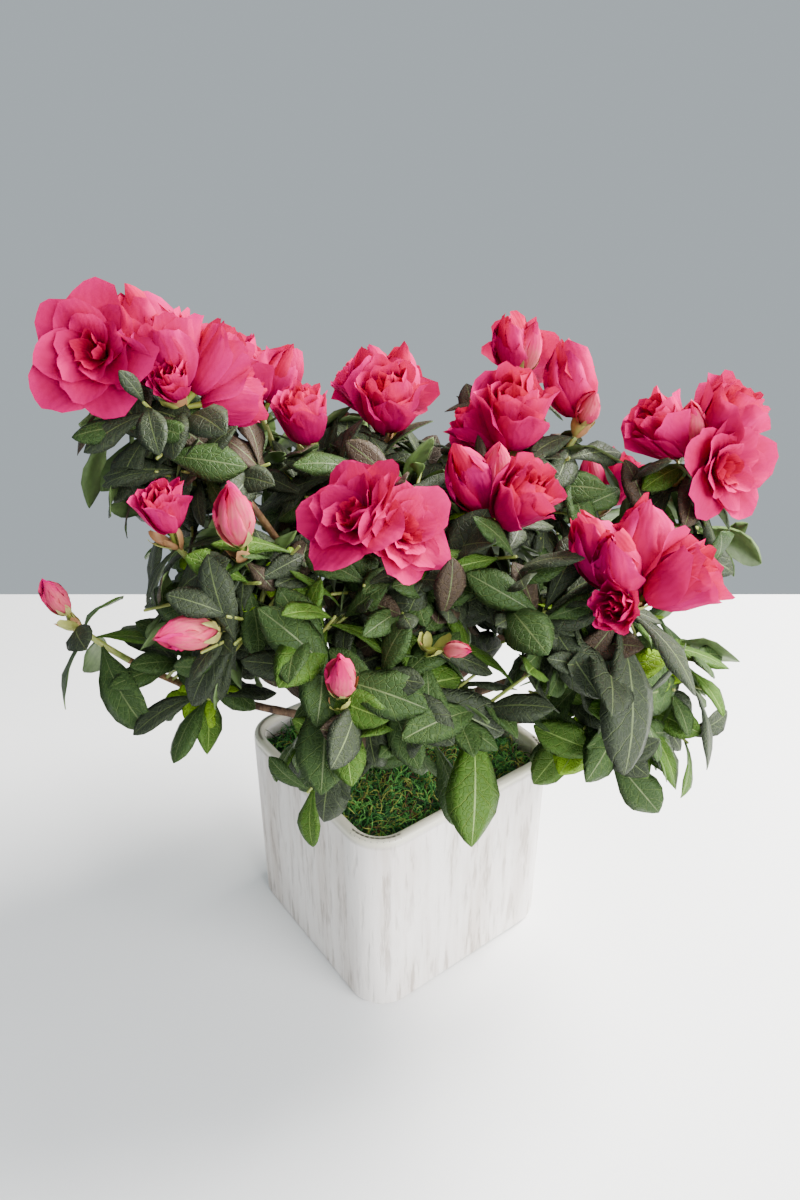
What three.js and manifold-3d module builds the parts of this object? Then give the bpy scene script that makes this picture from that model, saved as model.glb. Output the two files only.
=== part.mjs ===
// A florist's azalea (evergreen double-flowered kind) in a small square ceramic pot, topped with moss.
// Millimetres, +Z up. The origin is the middle of the pot's flat underside, and the pot's sides run along X and Y.
// The shrub is grown in a frame of its own, turned in the pot, where a bearing of 0 points to the shrub's right,
// 90 to its back and 270 to its front.
import * as THREE from "three";
import { mergeVertices } from "three/addons/utils/BufferGeometryUtils.js";
import Module from "manifold-3d";

// ---------------------------------------------------------------- driving dimensions

const POT = { side: 108, corner: 17, height: 100, wall: 5, floor: 7, edge: 2, cornerSteps: 3 };
const FILL = { gap: 0.4, top: 96, cushion: 8 };
const CLEAR = 0.3; // between pieces that meet
const SHRUB_TURN = -37; // degrees, the shrub's own front against the pot's sides

const TRUNK = { foot: 10, waist: 6.4, tip: 4.6, top: 137, leanX: 2, leanY: 1.5, sides: 10, steps: 5 };
const TIERS = { low: 109, middle: 120, high: 131 }; // heights at which boughs leave the trunk
const BOUGH = { share: 0.5, foot: 2.3, tip: 1.6, sides: 5, steps: 3, rise: 0.42 };
const STEM = { foot: 1.6, tip: 1.3, sides: 3, steps: 4, forkAt: 0.25 };
const SIDE = { foot: 1.2, tip: 1.1, length: 34, shrink: 0.78, leaves: 4, leaf: 30 };
const LEAF = { width: 0.42, thick: 0.016, leastThick: 0.7, root: 0.44, arch: 0.14, droop: 0.13, long: 50 };
const WHORL = { lean: [56, 116], flowerLean: [86, 128], hang: 18, spread: 15, young: 0.56, turn: 137.5 };
// Forms that a leaf may take to fit, first to last: the share of its length, and its lift in degrees.
const FITS = {
  free: [[1, 0], [0.95, -18], [0.88, 15], [0.9, -36], [0.76, 30], [0.62, 40]],
  underFlowers: [[1, 0], [0.95, -18], [0.9, -36], [0.8, -8], [0.7, -26], [0.6, -44]],
};
const STALK = { length: 7, sunk: 1.2 };
const SPACE_GAP = 0.8; // kept from the plane between two sprays
const LIMB_GAP = 1.8; // kept from every limb, and from the stems and flowers of another spray
const HEART = { low: 0.35, wide: 0.62 }; // the part of a flower that its own spray's leaves keep off, as shares
const CLEARING = { low: [-2, -42, 96], high: [-2, -110, 156], radius: 13 }; // bare space over the moss in front

// The shrub's plan. Each spray is carried by one bough and holds one or more flowering or leafy shoots.
// A shoot's tip stands `reach` out from the trunk's middle on its `bearing`, `height` over the pot's underside.
// `sides` is the number of side twigs, `leaf` the length of its longest leaves. A flower is
// [kind, bearing, lean from upright, size]: size is the width of an open bloom, else the flower's length.
const SPRAYS = [
  { name: "upper_left", tier: "high", shoots: [
    { bearing: 187, reach: 81, height: 262, leaves: 12, leaf: 52, sides: 2, flowers: [
      ["half", 180, 8, 33], ["half", 265, 38, 20], ["bud", 155, 25, 42], ["half", 28, 42, 32],
      ["half", 18, 84, 28]] },
    { bearing: 180, reach: 107, height: 277, leaves: 5, leaf: 44, sides: 0, flowers: [
      ["open", 266, 66, 46]] }] },
  { name: "left", tier: "middle", shoots: [
    { bearing: 219, reach: 72, height: 217, leaves: 8, leaf: 44, sides: 1, flowers: [
      ["bud", 262, 16, 28]] },
    { bearing: 203, reach: 90, height: 217, leaves: 6, leaf: 40, sides: 0, flowers: [
      ["half", 245, 14, 23]] },
    { bearing: 220, reach: 80, height: 190, leaves: 6, leaf: 36, sides: 1, flowers: [
      ["bud", 222, 74, 27]] }] },
  { name: "far_left", tier: "low", shoots: [
    { bearing: 193, reach: 132, height: 179, leaves: 6, leaf: 42, sides: 1, flowers: [
      ["bud", 210, 20, 19]] },
    { bearing: 212, reach: 90, height: 160, leaves: 7, leaf: 38, sides: 1, flowers: [] }] },
  { name: "upper_middle", tier: "high", shoots: [
    { bearing: 99, reach: 36, height: 234, leaves: 9, leaf: 40, sides: 1, flowers: [
      ["half", 280, 26, 36], ["bud", 125, 20, 37], ["bud", 54, 20, 36]] },
    { bearing: 151, reach: 41, height: 232, leaves: 7, leaf: 36, sides: 1, flowers: [
      ["half", 240, 14, 29]] }] },
  { name: "front_middle", tier: "middle", shoots: [
    { bearing: 262, reach: 38, height: 221, leaves: 8, leaf: 42, sides: 1, flowers: [
      ["open", 222, 42, 44], ["open", 304, 58, 37]] },
    { bearing: 325, reach: 44, height: 219, leaves: 8, leaf: 42, sides: 1, flowers: [
      ["bud", 155, 27, 31], ["bud", 75, 16, 28], ["half", 316, 38, 32]] },
    { bearing: 292, reach: 30, height: 190, leaves: 6, leaf: 44, sides: 0, flowers: [] }] },
  { name: "upper_right", tier: "high", shoots: [
    { bearing: 28, reach: 55, height: 228, leaves: 8, leaf: 41, sides: 1, flowers: [
      ["half", 260, 18, 40], ["half", 166, 48, 28]] },
    { bearing: 22, reach: 83, height: 239, leaves: 8, leaf: 41, sides: 1, flowers: [
      ["bud", 168, 13, 36], ["bud", 280, 34, 21]] }] },
  { name: "right", tier: "middle", shoots: [
    { bearing: 9, reach: 126, height: 229, leaves: 11, leaf: 48, sides: 2, flowers: [
      ["open", 298, 76, 44], ["half", 186, 44, 33], ["half", 345, 26, 36], ["bud", 225, 20, 26]] }] },
  { name: "front_right", tier: "middle", shoots: [
    { bearing: 326, reach: 101, height: 203, leaves: 12, leaf: 60, sides: 1, flowers: [
      ["bud", 148, 36, 34], ["bud", 205, 22, 29], ["bud", 62, 18, 35], ["half", 238, 68, 20],
      ["half", 338, 48, 33]] },
    { bearing: 316, reach: 66, height: 194, leaves: 7, leaf: 42, sides: 1, flowers: [] }] },
  { name: "low_front", tier: "low", shoots: [
    { bearing: 256, reach: 80, height: 174, leaves: 8, leaf: 52, sides: 1, flowers: [
      ["bud", 272, 18, 22]] },
    { bearing: 280, reach: 66, height: 190, leaves: 5, leaf: 35, sides: 0, flowers: [
      ["bud", 322, 70, 13]] },
    { bearing: 294, reach: 76, height: 168, leaves: 7, leaf: 56, sides: 1, flowers: [] },
    { bearing: 238, reach: 66, height: 193, leaves: 7, leaf: 42, sides: 1, flowers: [] }] },
  { name: "low_right", tier: "low", shoots: [
    { bearing: 350, reach: 124, height: 160, leaves: 8, leaf: 36, sides: 1, flowers: [] },
    { bearing: 338, reach: 90, height: 142, leaves: 7, leaf: 46, sides: 1, flowers: [] }] },
  { name: "back_left", tier: "middle", shoots: [
    { bearing: 135, reach: 88, height: 236, leaves: 10, leaf: 42, sides: 2, flowers: [
      ["open", 120, 48, 44], ["half", 210, 18, 34], ["bud", 30, 30, 30]] }] },
  { name: "back_right", tier: "middle", shoots: [
    { bearing: 54, reach: 93, height: 246, leaves: 10, leaf: 40, sides: 2, flowers: [
      ["bud", 205, 10, 30], ["bud", 330, 14, 28], ["open", 65, 58, 42]] }] },
  { name: "back_middle", tier: "middle", shoots: [
    { bearing: 93, reach: 99, height: 222, leaves: 10, leaf: 42, sides: 2, flowers: [
      ["open", 75, 56, 44], ["half", 160, 40, 32], ["bud", 250, 8, 26]] },
    { bearing: 112, reach: 84, height: 196, leaves: 6, leaf: 40, sides: 0, flowers: [] }] },
  { name: "low_back_left", tier: "low", shoots: [
    { bearing: 157, reach: 110, height: 184, leaves: 10, leaf: 44, sides: 1, flowers: [
      ["half", 165, 30, 30], ["bud", 60, 16, 24]] }] },
  { name: "low_back_right", tier: "low", shoots: [
    { bearing: 34, reach: 116, height: 186, leaves: 10, leaf: 46, sides: 2, flowers: [
      ["half", 20, 34, 30], ["bud", 130, 14, 26]] }] },
  { name: "low_back", tier: "low", shoots: [
    { bearing: 87, reach: 106, height: 168, leaves: 8, leaf: 44, sides: 1, flowers: [["bud", 90, 14, 22]] },
    { bearing: 62, reach: 84, height: 176, leaves: 6, leaf: 42, sides: 1, flowers: [] }] },
];

// A flower's outline, turned about its own axis: [radius, height] as shares of its size, from the base up the
// outside, over the rim and down the throat. Lobes is how far the rim swings in and out, five times round.
const FLOWERS = {
  bud: { turns: 5, lobes: 0, wide: 0.3, tall: 0.9, outline: [[0.27, 0.26], [0.3, 0.56], [0, 1]] },
  half: { turns: 8, lobes: 0, wide: 0.45, tall: 0.8, outline: [[0.3, 0.26], [0.45, 0.66], [0.36, 0.98], [0, 0.8]] },
  open: { turns: 10, lobes: 0.14, wide: 0.5, tall: 0.5, outline: [[0.2, 0.26], [0.5, 0.56], [0.3, 0.52], [0, 0.66]] },
};

const COLOURS = {
  pot: { color: 0xe9e4df, roughness: 0.55 },
  moss: { color: 0x2f4a1c, roughness: 1 },
  bark: { color: 0x6b4a3a, roughness: 0.9 },
  foliage: { color: 0x3c5240, roughness: 0.7 },
};

// ---------------------------------------------------------------- small helpers

const wasm = await Module();
wasm.setup();

const radians = THREE.MathUtils.degToRad;
const mix = THREE.MathUtils.lerp;
const vector = (x, y, z) => new THREE.Vector3(x, y, z);
const UP = vector(0, 0, 1);

// The direction that leans from upright towards a bearing, both in degrees.
function leaning(bearing, lean) {
  const flat = Math.sin(radians(lean));
  return vector(flat * Math.cos(radians(bearing)), flat * Math.sin(radians(bearing)), Math.cos(radians(lean)));
}

// A repeatable run of numbers from 0 to 1: each state is the last one times 16807, modulo 2^31 - 1.
function dice(seed) {
  let state = seed;
  return () => {
    state = (state * 16807) % 2147483647;
    return state / 2147483647;
  };
}

// A closed three.js geometry as a solid that can be joined and cut.
function solid(geometry) {
  const bare = geometry.index ? geometry.toNonIndexed() : geometry.clone();
  const merged = mergeVertices(
    new THREE.BufferGeometry().setAttribute("position", bare.getAttribute("position")), 1e-3);
  const corners = [];
  for (let i = 0; i < merged.index.count; i += 3) {
    const [a, b, c] = [0, 1, 2].map((k) => merged.index.getX(i + k));
    if (a !== b && b !== c && c !== a) corners.push(a, b, c);
  }
  return new wasm.Manifold(new wasm.Mesh({
    numProp: 3, vertProperties: merged.attributes.position.array, triVerts: new Uint32Array(corners) }));
}

// A solid as a named mesh.
function mesh(name, made, look) {
  const { numProp, numVert, vertProperties, triVerts } = made.getMesh();
  const places = new Float32Array(numVert * 3);
  for (let i = 0; i < numVert; i++) places.set(vertProperties.subarray(i * numProp, i * numProp + 3), i * 3);
  const geometry = new THREE.BufferGeometry()
    .setAttribute("position", new THREE.BufferAttribute(places, 3))
    .setIndex(new THREE.BufferAttribute(triVerts, 1));
  geometry.computeVertexNormals();
  const shown = new THREE.Mesh(geometry, new THREE.MeshStandardMaterial({ metalness: 0, ...look }));
  shown.name = name;
  return shown;
}

// A cylinder bent along a curve that lies in one plane. `across` is that plane's normal, and girth(t) gives the
// half width across the plane and the half depth in it, from t = 0 at the curve's start to 1 at its end.
function bent(curve, across, girth, sides, steps) {
  const made = new THREE.CylinderGeometry(1, 1, 1, sides, steps).toNonIndexed();
  const place = made.getAttribute("position");
  for (let i = 0; i < place.count; i++) {
    const t = place.getY(i) + 0.5;
    const depthwise = across.clone().cross(curve.getTangent(t)).normalize();
    const [wide, deep] = girth(t);
    const at = curve.getPoint(t)
      .addScaledVector(across, place.getX(i) * wide)
      .addScaledVector(depthwise, place.getZ(i) * deep);
    place.setXYZ(i, at.x, at.y, at.z);
  }
  return solid(made);
}

const evenTaper = (from, to) => (t) => [mix(from, to, t), mix(from, to, t)];

// ---------------------------------------------------------------- pot and moss

// A square with round corners, as a three.js shape.
function roundedSquare(side, corner) {
  const half = side / 2;
  const shape = new THREE.Shape();
  for (let quarter = 0; quarter < 4; quarter++) {
    const turn = radians(90 * quarter);
    const middle = new THREE.Vector2(half - corner, half - corner).rotateAround(new THREE.Vector2(), turn);
    shape.absarc(middle.x, middle.y, corner, turn, turn + radians(90), false);
  }
  return shape;
}

// A block on a rounded square whose top and bottom edges are rounded over by `edge` out and `rise` up.
function cushionBlock(side, corner, low, high, edge, rise) {
  const block = new THREE.ExtrudeGeometry(roundedSquare(side - 2 * edge, corner - edge), {
    depth: high - low - 2 * rise, curveSegments: POT.cornerSteps,
    bevelEnabled: edge > 0, bevelSize: edge, bevelThickness: rise, bevelSegments: 2 });
  return solid(block.translate(0, 0, low + rise));
}

function pot() {
  const outside = cushionBlock(POT.side, POT.corner, 0, POT.height, POT.edge, POT.edge);
  const inside = cushionBlock(POT.side - 2 * POT.wall, POT.corner - POT.wall,
    POT.floor, POT.height + POT.edge, 0, 0);
  return outside.subtract(inside);
}

function mossFill() {
  const side = POT.side - 2 * (POT.wall + FILL.gap);
  return cushionBlock(side, POT.corner - POT.wall - FILL.gap, POT.floor + FILL.gap, FILL.top,
    FILL.cushion, FILL.cushion);
}

// ---------------------------------------------------------------- trunk and boughs

const trunkFoot = vector(0, 0, FILL.top + CLEAR);
const trunkTip = vector(TRUNK.leanX, TRUNK.leanY, TRUNK.top);
const trunkLine = new THREE.LineCurve3(trunkFoot, trunkTip);

// The trunk's radius: a root flare at the foot that dies out over the first third, then an even taper.
function trunkRadius(t) {
  const flare = (TRUNK.foot - TRUNK.waist) * Math.max(0, 1 - 3 * t) ** 2;
  return mix(TRUNK.waist, TRUNK.tip, t) + flare;
}

// The trunk's rings lie level, so that its foot is a level cut on the moss.
function trunk() {
  const made = new THREE.CylinderGeometry(1, 1, 1, TRUNK.sides, TRUNK.steps).toNonIndexed();
  const place = made.getAttribute("position");
  for (let i = 0; i < place.count; i++) {
    const t = place.getY(i) + 0.5;
    const at = trunkLine.getPoint(t);
    place.setXYZ(i, at.x + place.getX(i) * trunkRadius(t), at.y - place.getZ(i) * trunkRadius(t), at.z);
  }
  return solid(made);
}

// Where a shoot's tip stands, and the way it points there: outwards as far as it reaches, and up.
function shootTip({ bearing, reach, height }) {
  const out = leaning(bearing, 90);
  return { place: out.clone().multiplyScalar(reach).setZ(height),
    axis: out.multiplyScalar(0.15 + reach / 210).add(UP).normalize() };
}

// A limb's curve from one point to a shoot's tip, which it enters along the shoot's axis.
function limbCurve(from, tip) {
  const bend = tip.place.clone().addScaledVector(tip.axis, -BOUGH.rise * from.distanceTo(tip.place));
  return new THREE.QuadraticBezierCurve3(from, bend, tip.place);
}

// The whole line of a spray, from the trunk's side to its first shoot's tip. Its start is moved out until the
// bough's tilted end face clears the trunk.
function sprayCurve(spray) {
  const tip = shootTip(spray.shoots[0]);
  const t = (TIERS[spray.tier] - trunkFoot.z) / (trunkTip.z - trunkFoot.z);
  const out = leaning(spray.shoots[0].bearing, 90);
  const inside = trunkLine.getPoint(t);
  const start = inside.clone().addScaledVector(out, trunkRadius(t));
  const slope = Math.abs(limbCurve(start, tip).getTangent(0).z);
  start.addScaledVector(out, CLEAR + BOUGH.foot * slope + 0.1);
  return limbCurve(start, tip);
}

// The part of such a curve between two of its parameters.
function stretch(curve, from, to) {
  const bend = vector(0, 0, 0)
    .addScaledVector(curve.v0, (1 - from) * (1 - to))
    .addScaledVector(curve.v1, from + to - 2 * from * to)
    .addScaledVector(curve.v2, from * to);
  return new THREE.QuadraticBezierCurve3(curve.getPoint(from), bend, curve.getPoint(to));
}

// The normal of the upright plane that a curve lies in.
function uprightPlane(curve) {
  const run = curve.getPoint(1).sub(curve.getPoint(0));
  return vector(run.y, -run.x, 0).normalize();
}

const sprayLines = SPRAYS.map((spray) => {
  const whole = sprayCurve(spray);
  const gap = CLEAR / whole.getLength();
  const stem = stretch(whole, BOUGH.share + gap, 1);
  return { whole, bough: stretch(whole, 0, BOUGH.share), stem };
});

function bough(lines) {
  return bent(lines.bough, uprightPlane(lines.whole), evenTaper(BOUGH.foot, BOUGH.tip), BOUGH.sides, BOUGH.steps);
}

// ---------------------------------------------------------------- how a spray grows

// Grows one spray from its seeded rule, as plain data: twigs, leaves and flowers. Every number is drawn before
// anything is tested, so leaving one leaf out doesn't change the others.
function growSpray(spray, index) {
  const roll = dice(7919 * (index + 3));
  const grown = { twigs: [], leaves: [], flowers: [] };
  const stem = sprayLines[index].stem;
  spray.shoots.forEach((shoot, order) => {
    const tip = shootTip(shoot);
    const fork = order === 0 ? null : stem.getPoint(STEM.forkAt * order);
    const line = order === 0 ? stem : limbCurve(fork, tip);
    grown.twigs.push({ line, girth: evenTaper(order === 0 ? STEM.foot : STEM.tip, STEM.tip), main: true });
    const underFlowers = shoot.flowers.length > 0;
    growWhorl(grown, roll, line, tip.axis, shoot.leaves, shoot.leaf, shoot.bearing, underFlowers);
    shoot.flowers.forEach(([kind, bearing, lean, size]) => {
      grown.flowers.push({ kind, size, foot: tip.place, way: leaning(bearing, lean) });
    });
    for (let k = 0; k < shoot.sides; k++) growSideTwig(grown, roll, line, tip, k, shoot);
  });
  return grown;
}

// Leaves round a shoot's tip: the young ones near the tip are short and stand up, the old ones below them are
// long and droop. Under flowers even the young ones lie low.
function growWhorl(grown, roll, line, axis, count, longest, bearing, underFlowers = false) {
  const [nearLean, farLean] = underFlowers ? WHORL.flowerLean : WHORL.lean;
  const forms = underFlowers ? FITS.underFlowers : FITS.free;
  const start = bearing + 360 * roll();
  const span = WHORL.spread / line.getPoint(0).distanceTo(line.getPoint(1));
  for (let i = 0; i < count; i++) {
    const age = (i + 0.5) / count;
    const around = start + WHORL.turn * i + 24 * (roll() - 0.5);
    const lean = mix(nearLean, farLean, age) + 22 * (roll() - 0.5);
    const length = longest * mix(WHORL.young, 1, Math.sqrt(age)) * (0.86 + 0.28 * roll());
    const width = LEAF.width * (0.9 + 0.25 * roll());
    const way = turned(leaning(around, lean), axis);
    grown.leaves.push({ foot: line.getPoint(1 - span * age), way, axis, length, width, forms });
  }
}

// A direction given against upright, turned to stand the same way against an axis.
function turned(way, axis) {
  return way.applyQuaternion(new THREE.Quaternion().setFromUnitVectors(UP, axis));
}

// A side twig leaves the shoot below its tip, spreads outwards, and ends in a small whorl.
function growSideTwig(grown, roll, line, tip, order, shoot) {
  const from = line.getPoint(mix(0.34, 0.86, roll()));
  const around = shoot.bearing + WHORL.turn * (order + 1) * 1.31 + 40 * (roll() - 0.5);
  const lean = mix(62, 104, roll());
  const length = SIDE.length * (0.8 + 0.45 * roll());
  const way = turned(leaning(around, lean), tip.axis);
  const axis = way.clone().addScaledVector(UP, 0.55).normalize();
  const twig = new THREE.LineCurve3(from, from.clone().addScaledVector(way, length));
  grown.twigs.push({ line: twig, girth: evenTaper(SIDE.foot, SIDE.tip), leavesFrom: grown.leaves.length });
  growWhorl(grown, roll, twig, axis, SIDE.leaves, Math.max(SIDE.leaf, shoot.leaf * SIDE.shrink), shoot.bearing);
}

// ---------------------------------------------------------------- space that each spray keeps to

// The middle of each shoot's leaves: its tip, or lower under flowers, where the leaves hang.
const seats = SPRAYS.flatMap((spray, index) => spray.shoots.map((shoot) => {
  const { place } = shootTip(shoot);
  if (shoot.flowers.length > 0) place.z -= WHORL.hang;
  return { index, place };
}));

// True where a point lies nearer to one of the spray's own shoots than to any other's, by more than the gap.
function inOwnSpace(point, index) {
  const own = seats.filter((seat) => seat.index === index);
  own.sort((a, b) => a.place.distanceToSquared(point) - b.place.distanceToSquared(point));
  const near = own[0].place;
  return seats.every((seat) => {
    if (seat.index === index) return true;
    const past = seat.place.distanceToSquared(point) - near.distanceToSquared(point);
    return past / (2 * seat.place.distanceTo(near)) > SPACE_GAP;
  });
}

// True in the pot, or so low over it that a leaf would lie on the rim or the moss.
function inPot(point) {
  const flat = point.clone().applyAxisAngle(UP, radians(SHRUB_TURN));
  const reach = POT.side / 2 + 2;
  return point.z < POT.height + 4 && Math.abs(flat.x) < reach && Math.abs(flat.y) < reach;
}

// What a leaf or side twig has to miss, as straight bars with a radius: the trunk, the clearing over the moss,
// every bough, the stems and flowers of the other sprays, and the hearts of its own spray's flowers.
function bars(curve, radius, count) {
  return Array.from({ length: count }, (_, i) => ({ radius,
    line: new THREE.Line3(curve.getPoint(i / count), curve.getPoint((i + 1) / count)) }));
}

function obstacles(index) {
  const clearing = new THREE.LineCurve3(vector(...CLEARING.low), vector(...CLEARING.high));
  const found = [...bars(trunkLine, TRUNK.foot, 1), ...bars(clearing, CLEARING.radius, 1)];
  sprayLines.forEach((lines, i) => {
    const own = i === index;
    found.push(...bars(lines.bough, BOUGH.foot, 4));
    growths[i].twigs.forEach((twig) => {
      if (twig.main && !own) found.push(...bars(twig.line, STEM.foot, 5));
    });
    growths[i].flowers.forEach(({ kind, size, foot, way }) => {
      const { tall, wide } = FLOWERS[kind];
      const [low, high] = [own ? HEART.low : 0, tall]
        .map((share) => foot.clone().addScaledVector(way, STALK.length + size * share));
      found.push({ radius: size * wide * (own ? HEART.wide : 1), line: new THREE.Line3(low, high) });
    });
  });
  return found;
}

// True where every point is in the spray's own space, out of the pot, and clear of every obstacle.
function keepsClear(points, index, around) {
  const nearest = vector(0, 0, 0);
  return points.every((point) => inOwnSpace(point, index) && !inPot(point) && around.every(({ line, radius }) => {
    line.closestPointToPoint(point, true, nearest);
    return nearest.distanceTo(point) > radius + LIMB_GAP;
  }));
}

// ---------------------------------------------------------------- leaves and flowers as solids

// The share of a leaf's greatest width at a share of its length: narrow stalk, widest past the middle, pointed.
const leafOutline = (t) => (t <= 0 || t >= 1 ? 0 : Math.sin(Math.PI * t ** 1.25) ** 0.8);

// The direction that a leaf's upper side faces, square to the way it points.
function upperSide({ way, axis }) {
  return axis.clone().addScaledVector(way, -axis.dot(way)).normalize();
}

// The curve of a leaf's midrib, arched up in its middle and down at its tip.
function midrib(leaf) {
  const { foot, way, length } = leaf;
  const normal = upperSide(leaf);
  const middle = foot.clone().addScaledVector(way, length * 0.5).addScaledVector(normal, length * LEAF.arch);
  const tip = foot.clone().addScaledVector(way, length * 0.97).addScaledVector(normal, -length * LEAF.droop);
  return new THREE.QuadraticBezierCurve3(foot, middle, tip);
}

function leafSolid(leaf) {
  const line = midrib(leaf);
  const across = leaf.axis.clone().cross(leaf.way).normalize();
  const half = (leaf.length * leaf.width) / 2 / Math.cos(radians(30));
  const keel = Math.max(LEAF.leastThick, leaf.length * LEAF.thick);
  const girth = (t) => (t === 0 ? [LEAF.root, LEAF.root] : [half * leafOutline(t), keel * leafOutline(t)]);
  return bent(line, across, girth, 3, leaf.length < LEAF.long ? 2 : 3);
}

// Points all over a leaf past its stalk, used to test where it reaches.
function leafPoints(leaf) {
  const line = midrib(leaf);
  const across = leaf.axis.clone().cross(leaf.way).normalize();
  return [0.2, 0.32, 0.44, 0.56, 0.68, 0.8, 0.9, 1].flatMap((t) => {
    const wide = (leaf.length * leaf.width * leafOutline(t)) / 2;
    return [-1, -0.5, 0, 0.5, 1].map((off) => line.getPoint(t).addScaledVector(across, off * wide));
  });
}

// A flower: the outline is turned about its axis, and its rim is pulled into five lobes. It narrows to a point
// sunk in the shoot's tip.
function flowerSolid({ kind, size, foot, way }) {
  const { turns, lobes, outline } = FLOWERS[kind];
  const profile = [new THREE.Vector2(0, -STALK.length - STALK.sunk)]
    .concat(outline.map(([r, h]) => new THREE.Vector2(r * size, h * size)));
  const shape = new THREE.LatheGeometry(profile, turns);
  const place = shape.getAttribute("position");
  for (let i = 0; i < place.count; i++) {
    const around = Math.atan2(place.getZ(i), place.getX(i));
    const swing = 1 + lobes * Math.cos(5 * around) * Math.max(0, Math.min(1, place.getY(i) / (0.5 * size)));
    place.setXYZ(i, place.getX(i) * swing, place.getY(i), place.getZ(i) * swing);
  }
  const stand = new THREE.Matrix4().makeRotationFromQuaternion(
    new THREE.Quaternion().setFromUnitVectors(vector(0, 1, 0), way));
  stand.setPosition(foot.clone().addScaledVector(way, STALK.length));
  return solid(shape.applyMatrix4(stand));
}

// ---------------------------------------------------------------- sprays as solids

const growths = SPRAYS.map(growSpray);

function twigSolid(twig) {
  return bent(twig.line, uprightPlane(twig.line), twig.girth, STEM.sides, twig.main ? STEM.steps : 1);
}

// The first form of a leaf that keeps clear: as it grew, or else shorter and lifted or lowered.
function fitted(leaf, index, around) {
  const normal = upperSide(leaf);
  const forms = leaf.forms.map(([share, lift]) => ({ ...leaf, length: leaf.length * share,
    way: leaf.way.clone().multiplyScalar(Math.cos(radians(lift))).addScaledVector(normal, Math.sin(radians(lift))) }));
  return forms.find((form) => keepsClear(leafPoints(form), index, around));
}

// One spray as one solid: its stems and flowers, then each side twig and leaf that keeps clear. A side twig that
// is left out takes its own leaves with it.
function spraySolid(index) {
  const { twigs, leaves, flowers } = growths[index];
  const around = obstacles(index);
  const pieces = flowers.map(flowerSolid);
  const bare = new Set();
  twigs.forEach((twig) => {
    const points = [0.2, 0.4, 0.6, 0.8, 1].map((t) => twig.line.getPoint(t));
    if (twig.main || keepsClear(points, index, around)) pieces.push(twigSolid(twig));
    else for (let k = 0; k < SIDE.leaves; k++) bare.add(twig.leavesFrom + k);
  });
  leaves.forEach((leaf, number) => {
    const form = bare.has(number) ? undefined : fitted(leaf, index, around);
    if (form) pieces.push(leafSolid(form));
  });
  return wasm.Manifold.union(pieces);
}

// ---------------------------------------------------------------- the whole plant

const azalea = new THREE.Group();
azalea.add(mesh("pot", pot(), COLOURS.pot), mesh("moss", mossFill(), COLOURS.moss));

const shrub = new THREE.Group();
shrub.rotation.z = radians(SHRUB_TURN);
shrub.add(mesh("trunk", trunk(), COLOURS.bark));
SPRAYS.forEach((spray, index) => {
  shrub.add(mesh(`bough_${spray.name}`, bough(sprayLines[index]), COLOURS.bark));
  shrub.add(mesh(`foliage_${spray.name}`, spraySolid(index), COLOURS.foliage));
});
azalea.add(shrub);

export default azalea;
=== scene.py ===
# %% [markdown]
# # A pot azalea, grown by a rule
#
# The plant is a florist's azalea: a short forked trunk in a square ceramic pot, whorls of leathery
# leaves, and double pink flowers at the ends of its shoots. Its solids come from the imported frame.
# Everything that is seen is made here, in metres, in the same frame.

# %% Load the frame
import math

import bmesh
import bpy
import numpy as np
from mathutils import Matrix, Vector


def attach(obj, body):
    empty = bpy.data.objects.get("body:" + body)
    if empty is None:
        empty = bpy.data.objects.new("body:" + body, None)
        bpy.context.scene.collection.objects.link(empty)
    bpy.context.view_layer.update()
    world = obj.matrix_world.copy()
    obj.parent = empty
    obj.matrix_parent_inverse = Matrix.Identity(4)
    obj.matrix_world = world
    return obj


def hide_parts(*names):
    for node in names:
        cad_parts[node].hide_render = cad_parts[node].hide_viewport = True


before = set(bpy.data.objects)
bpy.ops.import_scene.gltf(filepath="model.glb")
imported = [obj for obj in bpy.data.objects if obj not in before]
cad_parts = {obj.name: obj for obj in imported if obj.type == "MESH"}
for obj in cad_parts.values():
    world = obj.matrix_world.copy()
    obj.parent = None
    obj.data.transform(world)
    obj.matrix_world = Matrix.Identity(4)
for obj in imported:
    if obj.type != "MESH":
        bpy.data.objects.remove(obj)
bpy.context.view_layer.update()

# %% [markdown]
# ## Camera, floor and light
#
# The camera looks down on one corner of the pot. The shrub has a front of its own, turned 37 degrees
# against the pot's sides, so the camera's place is easiest to give in the shrub's frame and then turn.
# The floor is a table top, turned with the shrub, so that its far edge lies level in the picture. The
# light is a plain studio's: a grey sky, a bright window behind on the right, and two weaker soft boxes in
# front, which keep the shadows between the leaves from turning black.

# %% Places in the shrub's frame
MM = 0.001
SHRUB_TURN = math.radians(-37)
TURN = np.array([[math.cos(SHRUB_TURN), -math.sin(SHRUB_TURN), 0],
                 [math.sin(SHRUB_TURN), math.cos(SHRUB_TURN), 0],
                 [0, 0, 1]])


def in_pot_frame(points):
    """Points of the shrub's frame, in millimetres, as metres in the pot's frame."""
    return (np.asarray(points, float) @ TURN.T) * MM


# %% Camera
CAMERA_PLACE = (1, -340, 362)
CAMERA_PITCH = 28.9
SENSOR_WIDTH, LENS = 36, 27
camera_data = bpy.data.cameras.new("camera")
camera_data.sensor_width = SENSOR_WIDTH
camera_data.lens = LENS
camera = bpy.data.objects.new("camera", camera_data)
bpy.context.collection.objects.link(camera)
camera.location = in_pot_frame(CAMERA_PLACE)
camera.rotation_euler = (math.radians(90 - CAMERA_PITCH), 0, SHRUB_TURN)
bpy.context.scene.camera = camera
print("camera at", [round(value, 3) for value in camera.location])

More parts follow.
